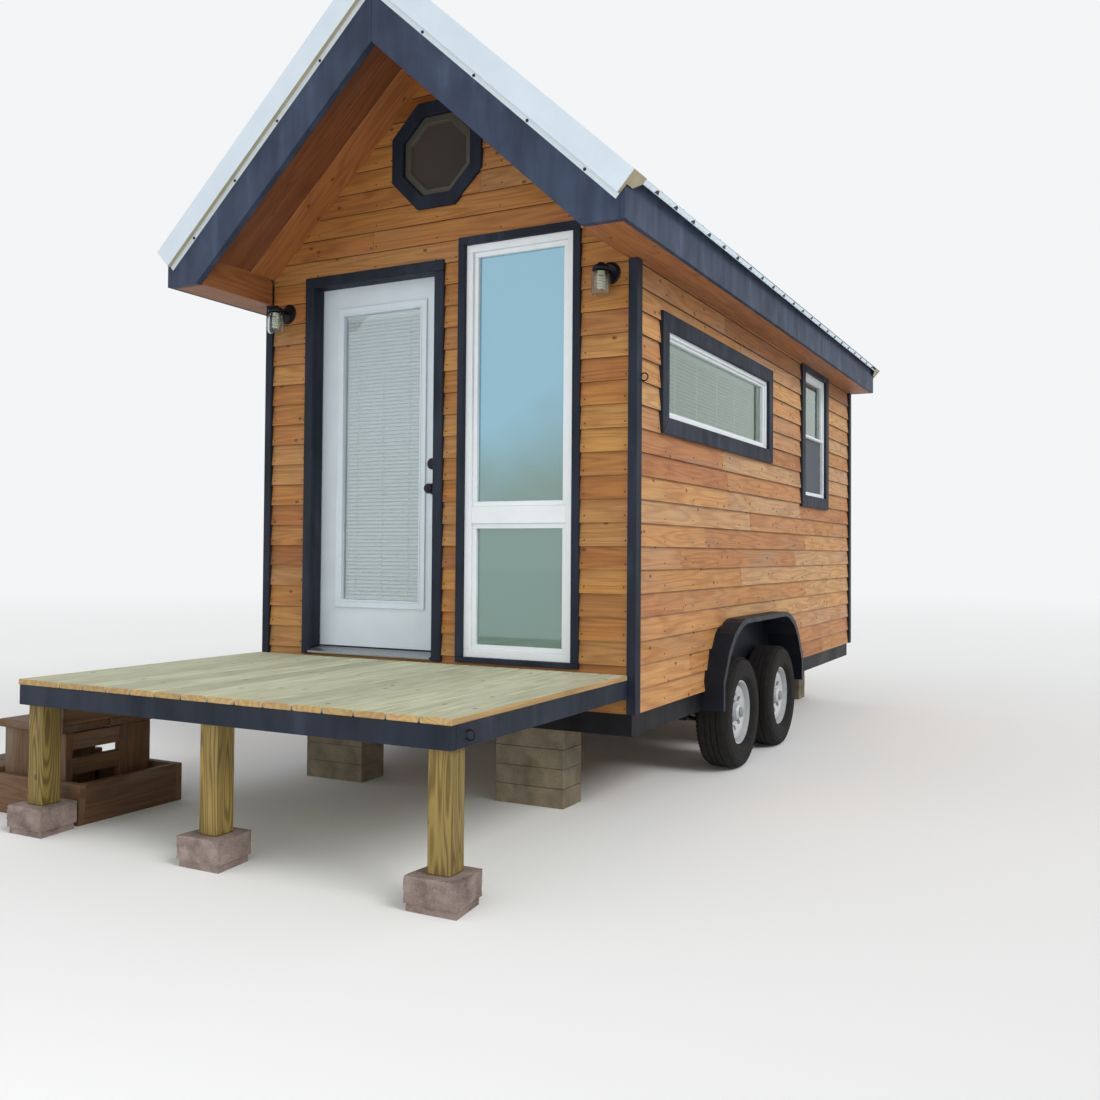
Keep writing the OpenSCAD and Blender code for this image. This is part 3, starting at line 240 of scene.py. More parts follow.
# Western red cedar of the long walls, oiled and one season old: golden, orange-brown, a few boards greyed
cedar = wood("cedar_siding", ["9c6538", "b9864c", "a86f42", "c08e56", "b27c4c", "b89066", "c3945a"],
             "a9713c", greyness=0.4)
# The same boards on the front, deeper and more orange as painted shade of the shaded front wall, with fewer
# boards greyed where the overhang keeps the rain off
shaded_gable_cedar = wood("cedar_gable_siding_painted_shade", ["8c5627", "a87236", "98602e", "b07d3e", "a06a36", "a67844",
                                          "b48342"], "a06a38", greyness=0.15)
# Their sawn lower edges, kept dark as painted shade under each board's lap
cedar_painted_shade_edges = wood("cedar_lower_edges_painted_shade", ["4e3019", "5f3c20"], "5a3a1e", greyness=0.15, rough=0.75)
# The same cedar under the roof, darker as painted shade of the roof, and redder because rain doesn't reach it
shaded_soffit_cedar = wood("cedar_soffit_painted_shade", ["7c4726", "86502e", "925c34", "a4693a"], "9c6a44", greyness=0.1,
                    rough=0.55)
# Pressure-treated pine deck boards: pale grey-green, with fine checks
deck_pine = wood("treated_deck_pine", ["adaf95", "bcbda2", "c4c6aa", "b4b69a"], "b3ad86", knot="7a6c4c",
                 grey="a9aba0", greyness=0.35, rough=0.72, ring=0.3)
# Sawn ends and edges of the deck boards, tan
deck_end = wood("treated_board_edges", ["a98a58", "b59663", "9c8152"], "9c7e50", greyness=0.15, rough=0.7)
# Treated pine posts, newer and yellower, with strong grain; the tones are kept dark as painted shade
shaded_post_pine = wood("treated_post_pine_painted_shade", ["7d6a37", "8e783f"], "6b5228", knot="4a3518", greyness=0.1,
                 rough=0.7, ring=0.6, bump=0.6, rings=120.0)
# Boards of the steps, left raw and browned by the weather
step_cedar = wood("weathered_step_boards", ["573e28", "654930", "73543a"], "6d5236", greyness=0.4,
                  rough=0.75)
# Spruce boards inside
framing = plain("spruce_boards", "c39a63", rough=0.7, mottle=0.2, scale=9.0)
# Exterior paint, slate charcoal with a blue cast, satin on smooth boards
charcoal = painted("charcoal_trim_paint", "272e3b", "1a1f29", rough=0.55, worn="414a58")
# The same paint on the roof's edge boards, made bluer and paler as painted sky light and reflection
charcoal_painted_sky_light = painted("charcoal_paint_painted_sky_light", "3e4a60", "2c3445", rough=0.5, worn="627086")
# Black chassis enamel, a little dusty
chassis = painted("chassis_enamel", "1a1b1f", "101114", rough=0.5, skin=40.0)
# Fender paint, dark blue-grey over steel
fender_paint = painted("fender_paint", "1e232d", "151920", rough=0.42, skin=40.0, worn="343b47")
# Pale coated roofing steel that mirrors the sky softly
roof_steel = plain("coated_roofing_steel", "cedae3", rough=0.38, metallic=0.2, mottle=0.07, scale=5.0)
# Beige primer on the back of the roofing steel, seen where the gable trim turns under
primer = plain("beige_primer_on_steel", "b3a88a", rough=0.6, mottle=0.2, scale=18.0)
# White vinyl of the window frames, smooth with a low sheen
vinyl = plain("white_vinyl", "e2e6e9", rough=0.35, mottle=0.05, scale=12.0)
# Enamelled steel skin of the door, white, given a blue-grey cast as painted shade
door_enamel = plain("white_door_enamel", "d0dae1", rough=0.34, mottle=0.06, scale=8.0)
# Olive-bronze vinyl of the octagon sash
bronze = plain("olive_bronze_vinyl", "4b483f", rough=0.45)
# Mill aluminium of the door sill, brushed by feet
aluminium = plain("mill_aluminium", "a9adb2", rough=0.35, metallic=0.9, mottle=0.2, scale=90.0)
# Oil-rubbed bronze of the locks and lights, near black
dark_bronze = plain("oil_rubbed_bronze", "1d1e26", rough=0.36, metallic=0.5)
# Zinc-plated fasteners
zinc = plain("zinc_plate", "9da3a8", rough=0.4, metallic=0.85)
# Black rubber washers and heads of the trim screws, and the foam in the ribs' ends
screw_dark = plain("dark_screw_heads", "33363b", metallic=0.3)
# Nail heads gone brown, with the stain they leave
nail_steel = plain("nail_heads", "4f3520", rough=0.7, metallic=0.2)
# Tyre rubber under road dust
rubber = plain("dusty_tyre_rubber", "252322", rough=0.85, mottle=0.35, scale=26.0, bump=0.35,
               Specular_IOR_Level=0.25)
# Silver enamel of the wheel discs
wheel_silver = plain("wheel_silver", "c9cbcc", rough=0.35, metallic=0.4)
# Cast pier blocks, tan-grey
pier_concrete = concrete("pier_concrete", "8b7f6b", "6b6150", "4f473a")
# Split garden-wall blocks, grey with a red cast
split_block = concrete("split_face_block", "96877f", "65554f", "b5a297", depth=6.0)
# Coated insulating glass of the windows, with a painted reflection, blue above and green-grey below
window_glass = glazing("window_glass", "86a2a8", "b0e2f8", "96ad9f", clear=0.3, gloss=0.55)
# The same glass in the long walls, clear enough to let the blinds show, with a pale grey-green painted
# reflection of the woods
side_glass = glazing("side_window_glass", "dbe6de", "dfe8e4", "b4bdb4", clear=0.96, gloss=0.2)
# Obscured bronze glass of the octagon, with a dim painted reflection
octagon_glass = glazing("octagon_glass", "524f4a", "7d7b76", "5a5853", clear=0.15, gloss=0.28)
# Clear glass of the door, over the blinds, with a faint painted reflection
door_glass = glazing("door_glass", "f7f9fb", "dcebf2", "c8d6d8", clear=0.97, gloss=0.08)
# Insect screen on the lower narrow sashes, a fine dark mesh
screen_mesh = plain("insect_screen", "52595e", rough=0.8, mottle=0.08, scale=4.0)
# Clear pressed glass of the jars
jar_glass, _, _ = material("jar_glass", Base_Color=colour("e3ebe8"), Roughness=0.05,
                           Transmission_Weight=1.0, IOR=1.45)
# Milk-white glass of the spiral bulbs
bulb_white = plain("bulb_white", "efe9d8", rough=0.3, mottle=0.03)
# White slats and cords of the blinds
blind_white = plain("blind_slats", "e0e5df", mottle=0.05)
# The slats behind the wide windows, which look grey-green in the dim room
dim_slats = plain("dim_blind_slats", "a9b5ab", rough=0.6, mottle=0.1, scale=6.0)


# Building
def gather(parts):
    """Joins several bmeshes into one."""
    whole = bmesh.new()
    for part in parts:
        mesh = bpy.data.meshes.new("part")
        part.to_mesh(mesh)
        part.free()
        whole.from_mesh(mesh)
        bpy.data.meshes.remove(mesh)
    return whole


def finish(name, source, *coats, body="house", node=(), smooth=False):
    """Makes one piece from a bmesh or a list of them, coats it, and lets it ride on its body."""
    if isinstance(source, list):
        source = gather(source)
    mesh = bpy.data.meshes.new(name)
    source.to_mesh(mesh)
    source.free()
    for coat in coats:
        mesh.materials.append(coat)
    if smooth:
        for face in mesh.polygons:
            face.use_smooth = True
    piece = bpy.data.objects.new(name, mesh)
    bpy.context.scene.collection.objects.link(piece)
    if node:
        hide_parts(node)
    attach(piece, body)


def cube(size, matrix):
    """A bmesh box of a size in metres, turned and moved by a matrix."""
    made = bmesh.new()
    bmesh.ops.create_cube(made, size=1)
    bmesh.ops.scale(made, vec=size, verts=made.verts)
    bmesh.ops.transform(made, matrix=matrix, verts=made.verts)
    return made


def block(low, high):
    """A bmesh box between two corners given in millimetres, in any order."""
    a, b = at(*low), at(*high)
    return cube([abs(v) for v in b - a], Matrix.Translation((a + b) / 2))


def sweep(corners, way):
    """A bmesh prism: the flat face between some corners, drawn out by a vector in metres."""
    made = bmesh.new()
    face = made.faces.new([made.verts.new(corner) for corner in corners])
    swept = bmesh.ops.extrude_face_region(made, geom=[face])["geom"]
    bmesh.ops.translate(made, vec=way, verts=[g for g in swept if isinstance(g, bmesh.types.BMVert)])
    bmesh.ops.recalc_face_normals(made, faces=made.faces)
    return made


def rod(centre, axis, radius, length, sides=16, end_radius=None):
    """A bmesh cylinder or cone round a point in millimetres; axis is a direction."""
    made = bmesh.new()
    turn = ALONG_Z.rotation_difference(axis).to_matrix().to_4x4()
    bmesh.ops.create_cone(made, cap_ends=True, segments=sides, radius1=radius * MM,
                          radius2=(radius if end_radius is None else end_radius) * MM, depth=length * MM,
                          matrix=Matrix.Translation(at(*centre)) @ turn)
    return made


def lathe(outline, centre, axis, steps=32, closed=False, first=0.0):
    """Spins an outline of (radius, height) points in millimetres round an axis through a point.

    An open outline starts and ends on the axis. first is the first step's angle.
    """
    made = bmesh.new()
    points = [made.verts.new((r * MM, 0, h * MM)) for r, h in outline]
    edges = [made.edges.new(pair) for pair in zip(points, points[1:])]
    if closed:
        edges.append(made.edges.new((points[-1], points[0])))
    bmesh.ops.spin(made, geom=points + edges, cent=(0, 0, 0), axis=(0, 0, 1), angle=2 * math.pi,
                   steps=steps, use_merge=True)
    bmesh.ops.remove_doubles(made, verts=made.verts, dist=0.00001)
    bmesh.ops.recalc_face_normals(made, faces=made.faces)
    turn = ALONG_Z.rotation_difference(axis).to_matrix().to_4x4() @ Matrix.Rotation(first, 4, "Z")
    bmesh.ops.transform(made, matrix=Matrix.Translation(at(*centre)) @ turn, verts=made.verts)
    return made


def chamfer(made, width, segments=1):
    """Eases the edges of a bmesh that turn more than 30 degrees; width is in millimetres."""
    edges = [e for e in made.edges if e.is_manifold and e.calc_face_angle(0) > math.radians(30)]
    bmesh.ops.bevel(made, geom=edges, offset=width * MM, offset_type="OFFSET", affect="EDGES",
                    segments=segments, profile=0.5, material=-1, clamp_overlap=True)
    return made


def random_shift():
    """A place somewhere in a large log, so that no two boards share their figure."""
    return Vector((draw.uniform(0, 60), draw.uniform(0, 40), draw.uniform(0, 40)))


def grain(made, along, tone, shift=None):
    """Gives every point of a board its place in the wood: along the grain first, then across it."""
    place = made.verts.layers.float_vector.new("grain")
    shade = made.verts.layers.float.new("tone")
    shift = random_shift() if shift is None else shift
    across = ALONG_Z if abs(along.z) < 0.5 else ALONG_X
    across = (across - along * across.dot(along)).normalized()
    depth = along.cross(across)
    reach = [[v.co.dot(way) for v in made.verts] for way in (across, depth)]
    if max(reach[1]) - min(reach[1]) > max(reach[0]) - min(reach[0]):
        # The board lies flat, and its knots show round on its wide face
        across, depth = depth, across
    for v in made.verts:
        v[place] = Vector((v.co.dot(along), v.co.dot(across), v.co.dot(depth))) + shift
        v[shade] = tone
    return made


def merged(node):
    """A CAD node as one clean bmesh, its triangles joined into whole faces."""
    made = bmesh.new()
    made.from_mesh(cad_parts[node].data)
    bmesh.ops.remove_doubles(made, verts=made.verts, dist=0.00002)
    bmesh.ops.dissolve_limit(made, angle_limit=math.radians(0.5), verts=made.verts, edges=made.edges)
    return made


def soften(node, coat, width):
    """Replaces a CAD node by itself with its edges eased."""
    finish(node + "_eased", chamfer(merged(node), width), coat, node=node)


def paint(coat, *names):
    """Gives CAD nodes their material."""
    for name in names:
        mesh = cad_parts[name].data
        mesh.materials.clear()
        mesh.materials.append(coat)


def solids(node):
    """The separate solids of a CAD node, each as its own bmesh."""
    whole = merged(node)
    number, count = {}, 0
    for start in whole.verts:
        if start in number:
            continue
        queue = [start]
        while queue:
            v = queue.pop()
            if v not in number:
                number[v] = count
                queue += [edge.other_vert(v) for edge in v.link_edges]
        count += 1
    numbers = [number[v] for v in whole.verts]
    parts = []
    for wanted in range(count):
        part = whole.copy()
        others = [v for v, n in zip(part.verts[:], numbers) if n != wanted]
        bmesh.ops.delete(part, geom=others, context="VERTS")
        parts.append(part)
    whole.free()
    return parts


def extent(part):
    """The lowest and highest corner of a bmesh, in metres."""
    return [Vector([pick(v.co[i] for v in part.verts) for i in range(3)]) for pick in (min, max)]


def timber(name, node, coat, width, along=None, end_coat=None):
    """Replaces a node of boards by boards with eased edges and their own grain.

    end_coat goes on the ends of the boards and on the outer faces at the node's two sides.
    """
    parts = []
    left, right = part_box(node)[0][0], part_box(node)[1][0]
    for part in solids(node):
        low, high = extent(part)
        size = high - low
        way = along or (ALONG_X, ALONG_Y, ALONG_Z)[list(size).index(max(size))]
        chamfer(part, width)
        if end_coat:
            for face in part.faces:
                x = face.calc_center_median().x
                outer = abs(face.normal.x) > 0.5 and min(x - left, right - x) < 0.004
                face.material_index = 1 if outer or abs(face.normal.dot(way)) > 0.5 else 0
        parts.append(grain(part, way, draw.uniform(0, 1)))
    coats = (coat, end_coat) if end_coat else (coat,)
    finish(name, parts, *coats, node=node)


# Sizes of the house, in millimetres
TRIM_X, TRIM_T, LENGTH = 1194, 32, 4730
WALL_X, WALL_Y, WALL_END = TRIM_X - TRIM_T, TRIM_T, LENGTH - TRIM_T
# Siding: its lower edge, what shows of a board, and how far its lower and upper edges stand out
SIDING_LOW, LAP, BUTT, TIP = 505, 116.5, 20.0, 8.0
SOFFIT = 2726
RIDGE, PITCH = 4196.62, math.radians(42.5)
SLOPE, SECANT = math.tan(PITCH), 1 / math.cos(PITCH)
# From the roof's surface down to the lining's upper and lower faces
ROOF_T, LINING = 182, 200
GABLE_Y, GABLE_END = -554, 4768
# Where the ribs of the roofing run, from front to back
RIBS = [(GABLE_Y + GABLE_END) / 2 + (k - 11.5) * 228.6 for k in range(24)]
# Openings as left, right, low and high: on the long walls left and right run from front to back.
# The tall front window is fixed, the wide ones slide sideways, the narrow ones up and down
TALL, WIDE, NARROW = (194, 838, 736, 2912), (421, 2211, 1993, 2451), (3163, 3805, 1737, 2682)
TALL_UPPER, TALL_LOWER = (234, 798, 1526, 2872), (234, 798, 776, 1436)
# The narrow window's upper sash runs outside the lower one
UPPER, LOWER = (3193, 3775, 2187, 2652), (3193, 3775, 1767, 2232)
LITE = (-685, -153, 1013, 2635)
OCTAGON_Z, EIGHTH = 3435, math.radians(22.5)
DECK_Z = 697
LIGHTS, LIGHT_Y, LIGHT_Z = (-1038, 1038), -84, 2665
WHEELS = {"front": 1440, "rear": 2278}
WHEEL_X, WHEEL_Z = 1173.5, 334


def grown(opening, by):
    """An opening made larger on every side, or smaller with a minus."""
    left, right, low, high = opening
    return left - by, right + by, low - by, high + by


# Siding
def keep(piece, point, normal):
    """Keeps the part of a flat piece that lies on the side the normal points to."""
    geometry = piece.verts[:] + piece.edges[:] + piece.faces[:]
    bmesh.ops.bisect_plane(piece, geom=geometry, plane_co=point, plane_no=normal, clear_inner=True,
                           dist=1e-6)


def outside(piece, opening):
    """Splits a flat piece into its parts outside a convex opening of (point, outward normal) lines."""
    for axis in (0, 2):
        own = [v.co[axis] for v in piece.verts]
        corners = [point[axis] for point, _ in opening]
        if max(own) <= min(corners) or min(own) >= max(corners):
            return [piece]
    parts = []
    for point, normal in opening:
        part = piece.copy()
        keep(part, point, normal)
        if part.faces:
            parts.append(part)
        else:
            part.free()
        keep(piece, point, -normal)
        if not piece.faces:
            break
    piece.free()
    return parts


def hole(points):
    """The sides of a convex opening in the plane of a wall, from its corners counter-clockwise."""
    return [(Vector((a, 0, b)), Vector((d - b, 0, a - c)).normalized())
            for (a, b), (c, d) in zip(points, points[1:] + points[:1])]


def rectangle(left, right, low, high):
    """A right-angled opening."""
    return hole([(left, low), (right, low), (right, high), (left, high)])


def ring_of(count, radius, x=0.0, z=0.0, first=0.0):
    """Corners of a regular outline round a point, counter-clockwise; first is its first angle."""
    turns = [first + 2 * math.pi * k / count for k in range(count)]
    return [(x + radius * math.cos(a), z + radius * math.sin(a)) for a in turns]


def nail_places(left, right, low, openings, slopes, studs=406):
    """Nails at a board's ends, over the studs and beside the larger openings."""
    z = low + 29
    gaps = []
    for opening in openings:
        xs, zs = [[point[i] for point, _ in opening] for i in (0, 2)]
        if min(zs) - 10 < z < max(zs) + 10:
            gaps.append((min(xs), max(xs)))
    first, last = math.ceil((left + 60) / studs), math.floor((right - 60) / studs)
    places = [left + 18, right - 18] + [k * studs for k in range(first, last + 1)]
    places += [x for a, b in gaps if b - a > 300 for x in (a - 20, b + 20)]
    kept = []
    for x in sorted(places):
        covered = any(a - 12 < x < b + 12 for a, b in gaps)
        past = any((Vector((x, 0, z)) - point).dot(normal) < 12 for point, normal in slopes)
        if left < x < right and not covered and not past and (not kept or x - kept[-1] > 60):
            kept.append(x)
    return [(x + draw.uniform(-6, 6), z + draw.uniform(-5, 5)) for x in kept]


def stand_out(height):
    """How far a board stands out from its wall at a height above its lower edge."""
    return TIP + (BUTT - TIP) * (1 - height / LAP)


def clad(start, end, top, openings, slopes=(), lengths=(1500, 2600)):
    """Lapped boards over a wall, drawn in the wall's own plane: x along it, y out of it, z up, millimetres.

    Returns the boards, each with its tone and its place in the log, and the places of the nails.
    """
    boards, nails = [], []
    low = SIDING_LOW
    while low < top - 2:
        high = min(low + LAP, top)
        left = start
        reach = draw.uniform(0.3, 1.0)
        while left < end - 1:
            right = left + draw.uniform(*lengths) * reach
            reach = 1
            if end - right < 500:
                right = end
            flat = bmesh.new()
            edge = right if right == end else right - 1.5
            flat.faces.new([flat.verts.new((x, 0, z)) for x, z in
                            ((left, low), (edge, low), (edge, high), (left, high))])
            pieces = [flat]
            for line in slopes:
                for piece in pieces:
                    keep(piece, *line)
                pieces = [p for p in pieces if p.faces]
            for opening in openings:
                pieces = [q for p in pieces for q in outside(p, opening)]
            tone, shift, lean = draw.random(), random_shift(), draw.uniform(-0.8, 0)
            for piece in pieces:
                out = bmesh.ops.extrude_face_region(piece, geom=piece.faces[:])["geom"]
                for v in (g for g in out if isinstance(g, bmesh.types.BMVert)):
                    v.co.y = stand_out(v.co.z - low) + lean
                boards.append((piece, tone, shift))
            if high - low > 60:
                nails += nail_places(left, right, low, openings, slopes)
            left = right
        low += LAP
    return boards, nails


def raise_walls(name, node, coat, *sides):
    """Puts clad walls in place and returns their nail heads.

    Each side is a clad wall, its origin, the direction of its boards and the direction out of it.
    """
    done, heads = [], []
    for (boards, nails), origin, along, out in sides:
        turn = Matrix((along, out, ALONG_Z)).transposed().to_4x4()
        place = Matrix.Translation(at(*origin)) @ turn @ Matrix.Scale(MM, 4)
        for piece, tone, shift in boards:
            bmesh.ops.transform(piece, matrix=place, verts=piece.verts)
            bmesh.ops.recalc_face_normals(piece, faces=piece.faces)
            for face in piece.faces:
                # Faces turned downward, the boards' lower edges, take the dark second coat as painted shade
                face.material_index = 1 if face.normal.z < -0.7 else 0
            done.append(grain(piece, along, tone, shift))
        for x, z in nails:
            head = bmesh.new()
            matrix = Matrix.Translation((x, stand_out((z - SIDING_LOW) % LAP) + 0.3, z))
            bmesh.ops.create_cone(head, cap_ends=True, segments=7, radius1=4.4, radius2=3.8, depth=2.4,
                                  matrix=matrix @ Matrix.Rotation(-math.pi / 2, 4, "X"))
            bmesh.ops.transform(head, matrix=place, verts=head.verts)
            bmesh.ops.recalc_face_normals(head, faces=head.faces)
            heads.append(head)
    finish(name, done, coat, cedar_painted_shade_edges, node=node)
    return heads


def side_siding():
    """Both long walls, cut round the windows' casings and the fenders."""
    middle, half, top = 1859, 854, 897
    corner = [(0, 330), (95, 175), (195, 75), (320, 18), (400, 0)]
    arch = [(middle - half, 380), (middle + half, 380)]
    arch += [(middle + half - x, top - z) for x, z in corner]
    arch += [(middle - half + x, top - z) for x, z in reversed(corner)]
    wide, narrow = grown(WIDE, 88), grown(NARROW, 88)
    openings = [rectangle(*wide), rectangle(*narrow[:3], SOFFIT), hole(arch)]
    right = clad(64, LENGTH - 64, SOFFIT, openings)
    left = clad(64, LENGTH - 64, SOFFIT, openings)
    return raise_walls("siding_sides", "side_siding", cedar, (right, (WALL_X, 0, 0), ALONG_Y, ALONG_X),
                       (left, (-WALL_X, 0, 0), ALONG_Y, -ALONG_X))


def gable_siding():
    """The front and the rear, cut off under the sloping soffits."""
    peak = Vector((0, 0, RIDGE - (LINING + 0.3) * SECANT))
    slopes = [(peak, -slope_up(side)) for side in (1, -1)]
    openings = [rectangle(-897, 59, 703, 2854), rectangle(152, 880, 708, 2954),
                hole(ring_of(8, 290 / math.cos(EIGHTH), 0, OCTAGON_Z, EIGHTH))]
    openings += [hole(ring_of(18, 57.5, x, LIGHT_Z)) for x in LIGHTS]
    front = clad(-1146, 1146, 3940, openings, slopes, lengths=(1100, 2400))
    rear = clad(-1146, 1146, 3940, [], slopes)
    heads = raise_walls("siding_front", "front_siding", shaded_gable_cedar,
                        (front, (0, WALL_Y, 0), ALONG_X, -ALONG_Y))
    return heads + raise_walls("siding_rear", "rear_siding", cedar,
                               (rear, (0, WALL_END, 0), ALONG_X, ALONG_Y))


# Roof
def on_slope(side, down, y, lift):
    """The place, in millimetres, a distance down one slope and square above its surface."""
    return (side * (down * math.cos(PITCH) + lift * math.sin(PITCH)), y,
            RIDGE - down * math.sin(PITCH) + lift * math.cos(PITCH))


def slope_up(side):
    """The direction square to one slope of the roof."""
    return Vector((side * math.sin(PITCH), 0, math.cos(PITCH)))


def slope_down(side):
    """The direction down one slope of the roof."""
    return Vector((side * math.cos(PITCH), 0, -math.sin(PITCH)))


def overhang_soffits():
    """Four sloping boards a side under the front overhang, and the boards of the boxed eave ends."""
    parts = []
    seams = (-516, -420, -300, -175, TRIM_T)
    for side in (1, -1):
        for number, (near, far) in enumerate(zip(seams, seams[1:])):
            # The board against the wall lies lower and is lighter
            drop = LINING - (0 if number == 3 else 2.5)
            outline = [(0.5, ROOF_T + 0.3), (1146, ROOF_T + 0.3), (1146, drop), (0.5, drop)]
            corners = [at(side * x, near + 0.8, RIDGE - depth * SECANT - SLOPE * x) for x, depth in outline]
            board = chamfer(sweep(corners, ALONG_Y * (far - near - 1.6) * MM), 1.5)
            parts.append(grain(board, slope_down(side), 0.95 if number == 3 else draw.uniform(0, 0.6)))
    for part in solids("overhang_soffit"):
        low, high = extent(part)
        if max(high.x - HOUSE.x, HOUSE.x - low.x) < 1.1465:
            part.free()
            continue
        parts.append(grain(chamfer(part, 1.0), ALONG_Y, draw.uniform(0.5, 1.0)))
    finish("overhang_soffit_boards", parts, shaded_soffit_cedar, node="overhang_soffit")


def eave_soffits():
    """Two boards under each eave, the outer one the narrower."""
    parts = []
    for side in (1, -1):
        for near, far in ((WALL_X, 1262), (1264, 1354)):
            start = 0
            while start < LENGTH:
                end = start + draw.uniform(1700, 2600)
                end = LENGTH if LENGTH - end < 500 else end
                board = block((side * near, start + 0.6, SOFFIT), (side * far, end - 0.6, SOFFIT + 18))
                parts.append(grain(chamfer(board, 1.0), ALONG_Y, draw.uniform(0.3, 1.0)))
                start = end
    finish("eave_soffit_boards", parts, shaded_soffit_cedar, node="eave_soffits")


def rake_trims():
    """The bent gable trims, beige where their back shows, with the screws along their flanges."""
    trims = merged("rake_trims")
    for face in trims.faces:
        under = any(face.normal.dot(slope_up(side)) < -0.9 for side in (1, -1))
        tab = abs(face.normal.x) > 0.6 and face.normal.z < -0.5
        face.material_index = 1 if under or tab else 0
    finish("rake_trims_coated", trims, roof_steel, primer, node="rake_trims")
    screws = []
    for y, way in ((GABLE_Y - 3, -1), (GABLE_END + 3, 1)):
        for side in (1, -1):
            for k in range(5):
                x, _, z = on_slope(side, 131 + 392 * k + draw.uniform(-8, 8), y, -106)
                screws.append(rod((x, y + way, z), ALONG_Y, 8, 2, 12))
                screws.append(rod((x, y + way * 4.5, z), ALONG_Y, 4.6, 5, 6))
    finish("rake_screws", screws, screw_dark)


def roof_screws():
    """Washered screws beside the ribs in four rows a slope, and along the ridge cap."""
    parts = []
    for side in (1, -1):
        for k, rib in enumerate(RIBS[:-1]):
            for down in (260, 840, 1380, 1820):
                parts.append(rod(on_slope(side, down, rib + 44, 5.0), slope_up(side), 8, 1.6, 8))
                parts.append(rod(on_slope(side, down, rib + 44, 8.0), slope_up(side), 4.4, 5, 6))
            if k % 2:
                parts.append(rod(on_slope(side, 130, rib, 29), slope_up(side), 4.4, 5, 6))
    finish("roof_screws", parts, zinc)


def rib_closures():
    """Dark foam in the open ends of the ribs along both eaves."""
    parts = []
    # The sheet's upper face above the roof, and its edge down the slope
    high = 0.3 + 4
    end = ((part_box("roofing_right")[1][0] - HOUSE.x) / MM - (high + 19) * math.sin(PITCH)) / math.cos(PITCH)
    section = [(-22, high + 0.5), (-8.5, high + 16.5), (8.5, high + 16.5), (22, high + 0.5)]
    for side in (1, -1):
        for y in RIBS:
            corners = [at(*on_slope(side, end - 0.5, y + across, lift)) for across, lift in section]
            parts.append(sweep(corners, slope_down(side) * 2 * MM))
    finish("rib_closures", parts, screw_dark)


finish("siding_nails", gable_siding() + side_siding(), nail_steel)
overhang_soffits()
eave_soffits()
rake_trims()
roof_screws()
rib_closures()
paint(roof_steel, "roofing_left", "roofing_right", "ridge_cap")
for board in ("corner_trims", "window_casings", "door_jambs", "deck_rims"):
    soften(board, charcoal, 2.0)
for board in ("bargeboards", "fascias"):
    soften(board, charcoal_painted_sky_light, 2.0)
soften("door_casing", charcoal, 4.0)


# Windows
def slab(box, plane, depth, side=0):
    """A block over an opening. plane is its outer face, depth how far it reaches inward.

    side is 0 for the front wall and 1 or -1 for the right or left wall.
    """
    left, right, low, high = box
    if side:
        return block((side * plane, left, low), (side * (plane - depth), right, high))
    return block((left, plane, low), (right, plane + depth, high))


def bars(box, border, plane, depth, side=0):
    """Four bars just inside an opening; plane, depth and side are as in slab."""
    left, right, low, high = box
    return [slab(bar, plane, depth, side) for bar in (
        (left, right, low, low + border), (left, right, high - border, high),
        (left, left + border, low + border, high - border),
        (right - border, right, low + border, high - border))]


def window_frames():
    """White frames in steps: an outer frame, and sashes with a bead round the glass."""
    parts = bars(TALL, 40, 20, 84) + bars(TALL_UPPER, 26, 34, 60) + bars(TALL_LOWER, 26, 34, 60)
    parts.append(slab((234, 798, 1436, 1526), 24, 76))
    for side in (1, -1):
        parts += bars(WIDE, 24, 1174, 84, side) + bars(grown(WIDE, -24), 16, 1160, 60, side)
        parts += bars(NARROW, 30, 1174, 84, side)
        parts += bars(UPPER, 24, 1164, 34, side) + bars(LOWER, 24, 1128, 34, side)
        # The lip on the narrow window's meeting rail
        parts.append(slab((3193, 3775, 2190, 2206), 1174, 8, side))
    finish("window_frames_stepped", [chamfer(part, 2.0) for part in parts], vinyl, node="window_frames")


def octagon_ring(outer, inner, near, far):
    """An eight-sided ring round the gable window, measured across its flats, in millimetres."""
    outline = [(flats / 2 / math.cos(EIGHTH), y) for flats, y in
               ((outer, near), (outer, far), (inner, far), (inner, near))]
    return lathe(outline, (0, 0, OCTAGON_Z), ALONG_Y, steps=8, closed=True, first=EIGHTH)


def coated(part, slot):
    """Gives all faces of a bmesh one slot of its piece's coats."""
    for face in part.faces:
        face.material_index = slot
    return part


def octagon_window():
    """Painted casing, and an olive-bronze sash with an inner bead."""
    casing = chamfer(octagon_ring(580, 436, 0, 32), 2.5)
    sash, bead = chamfer(octagon_ring(436, 356, 24, 82), 4.0), chamfer(octagon_ring(366, 346, 34, 52), 1.5)
    finish("octagon_casing_and_sash", [casing, coated(sash, 1), coated(bead, 1)], charcoal, bronze,
           node="octagon_trim")


def panes():
    """One pane a sash, set in the thickness of the glazing; the octagon has its own glass."""
    parts = [slab(box, 52, 4) for box in ((258, 774, 800, 1414), grown(TALL_UPPER, -24))]
    screens = []
    for side in (1, -1):
        for box, plane in ((grown(WIDE, -38), 1140), (grown(UPPER, -22), 1148), (grown(LOWER, -22), 1112)):
            parts.append(coated(slab(box, plane, 4, side), 2))
        screens.append(slab((3201, 3767, 1775, 2190), 1151.5, 1.5, side))
    corners = [at(x, 40, z) for x, z in ring_of(8, 178 / math.cos(EIGHTH), 0, OCTAGON_Z, EIGHTH)]
    parts.append(coated(sweep(corners, ALONG_Y * 4 * MM), 1))
    finish("window_panes", parts, window_glass, octagon_glass, side_glass, node="window_glass")
    finish("insect_screens", screens, screen_mesh)


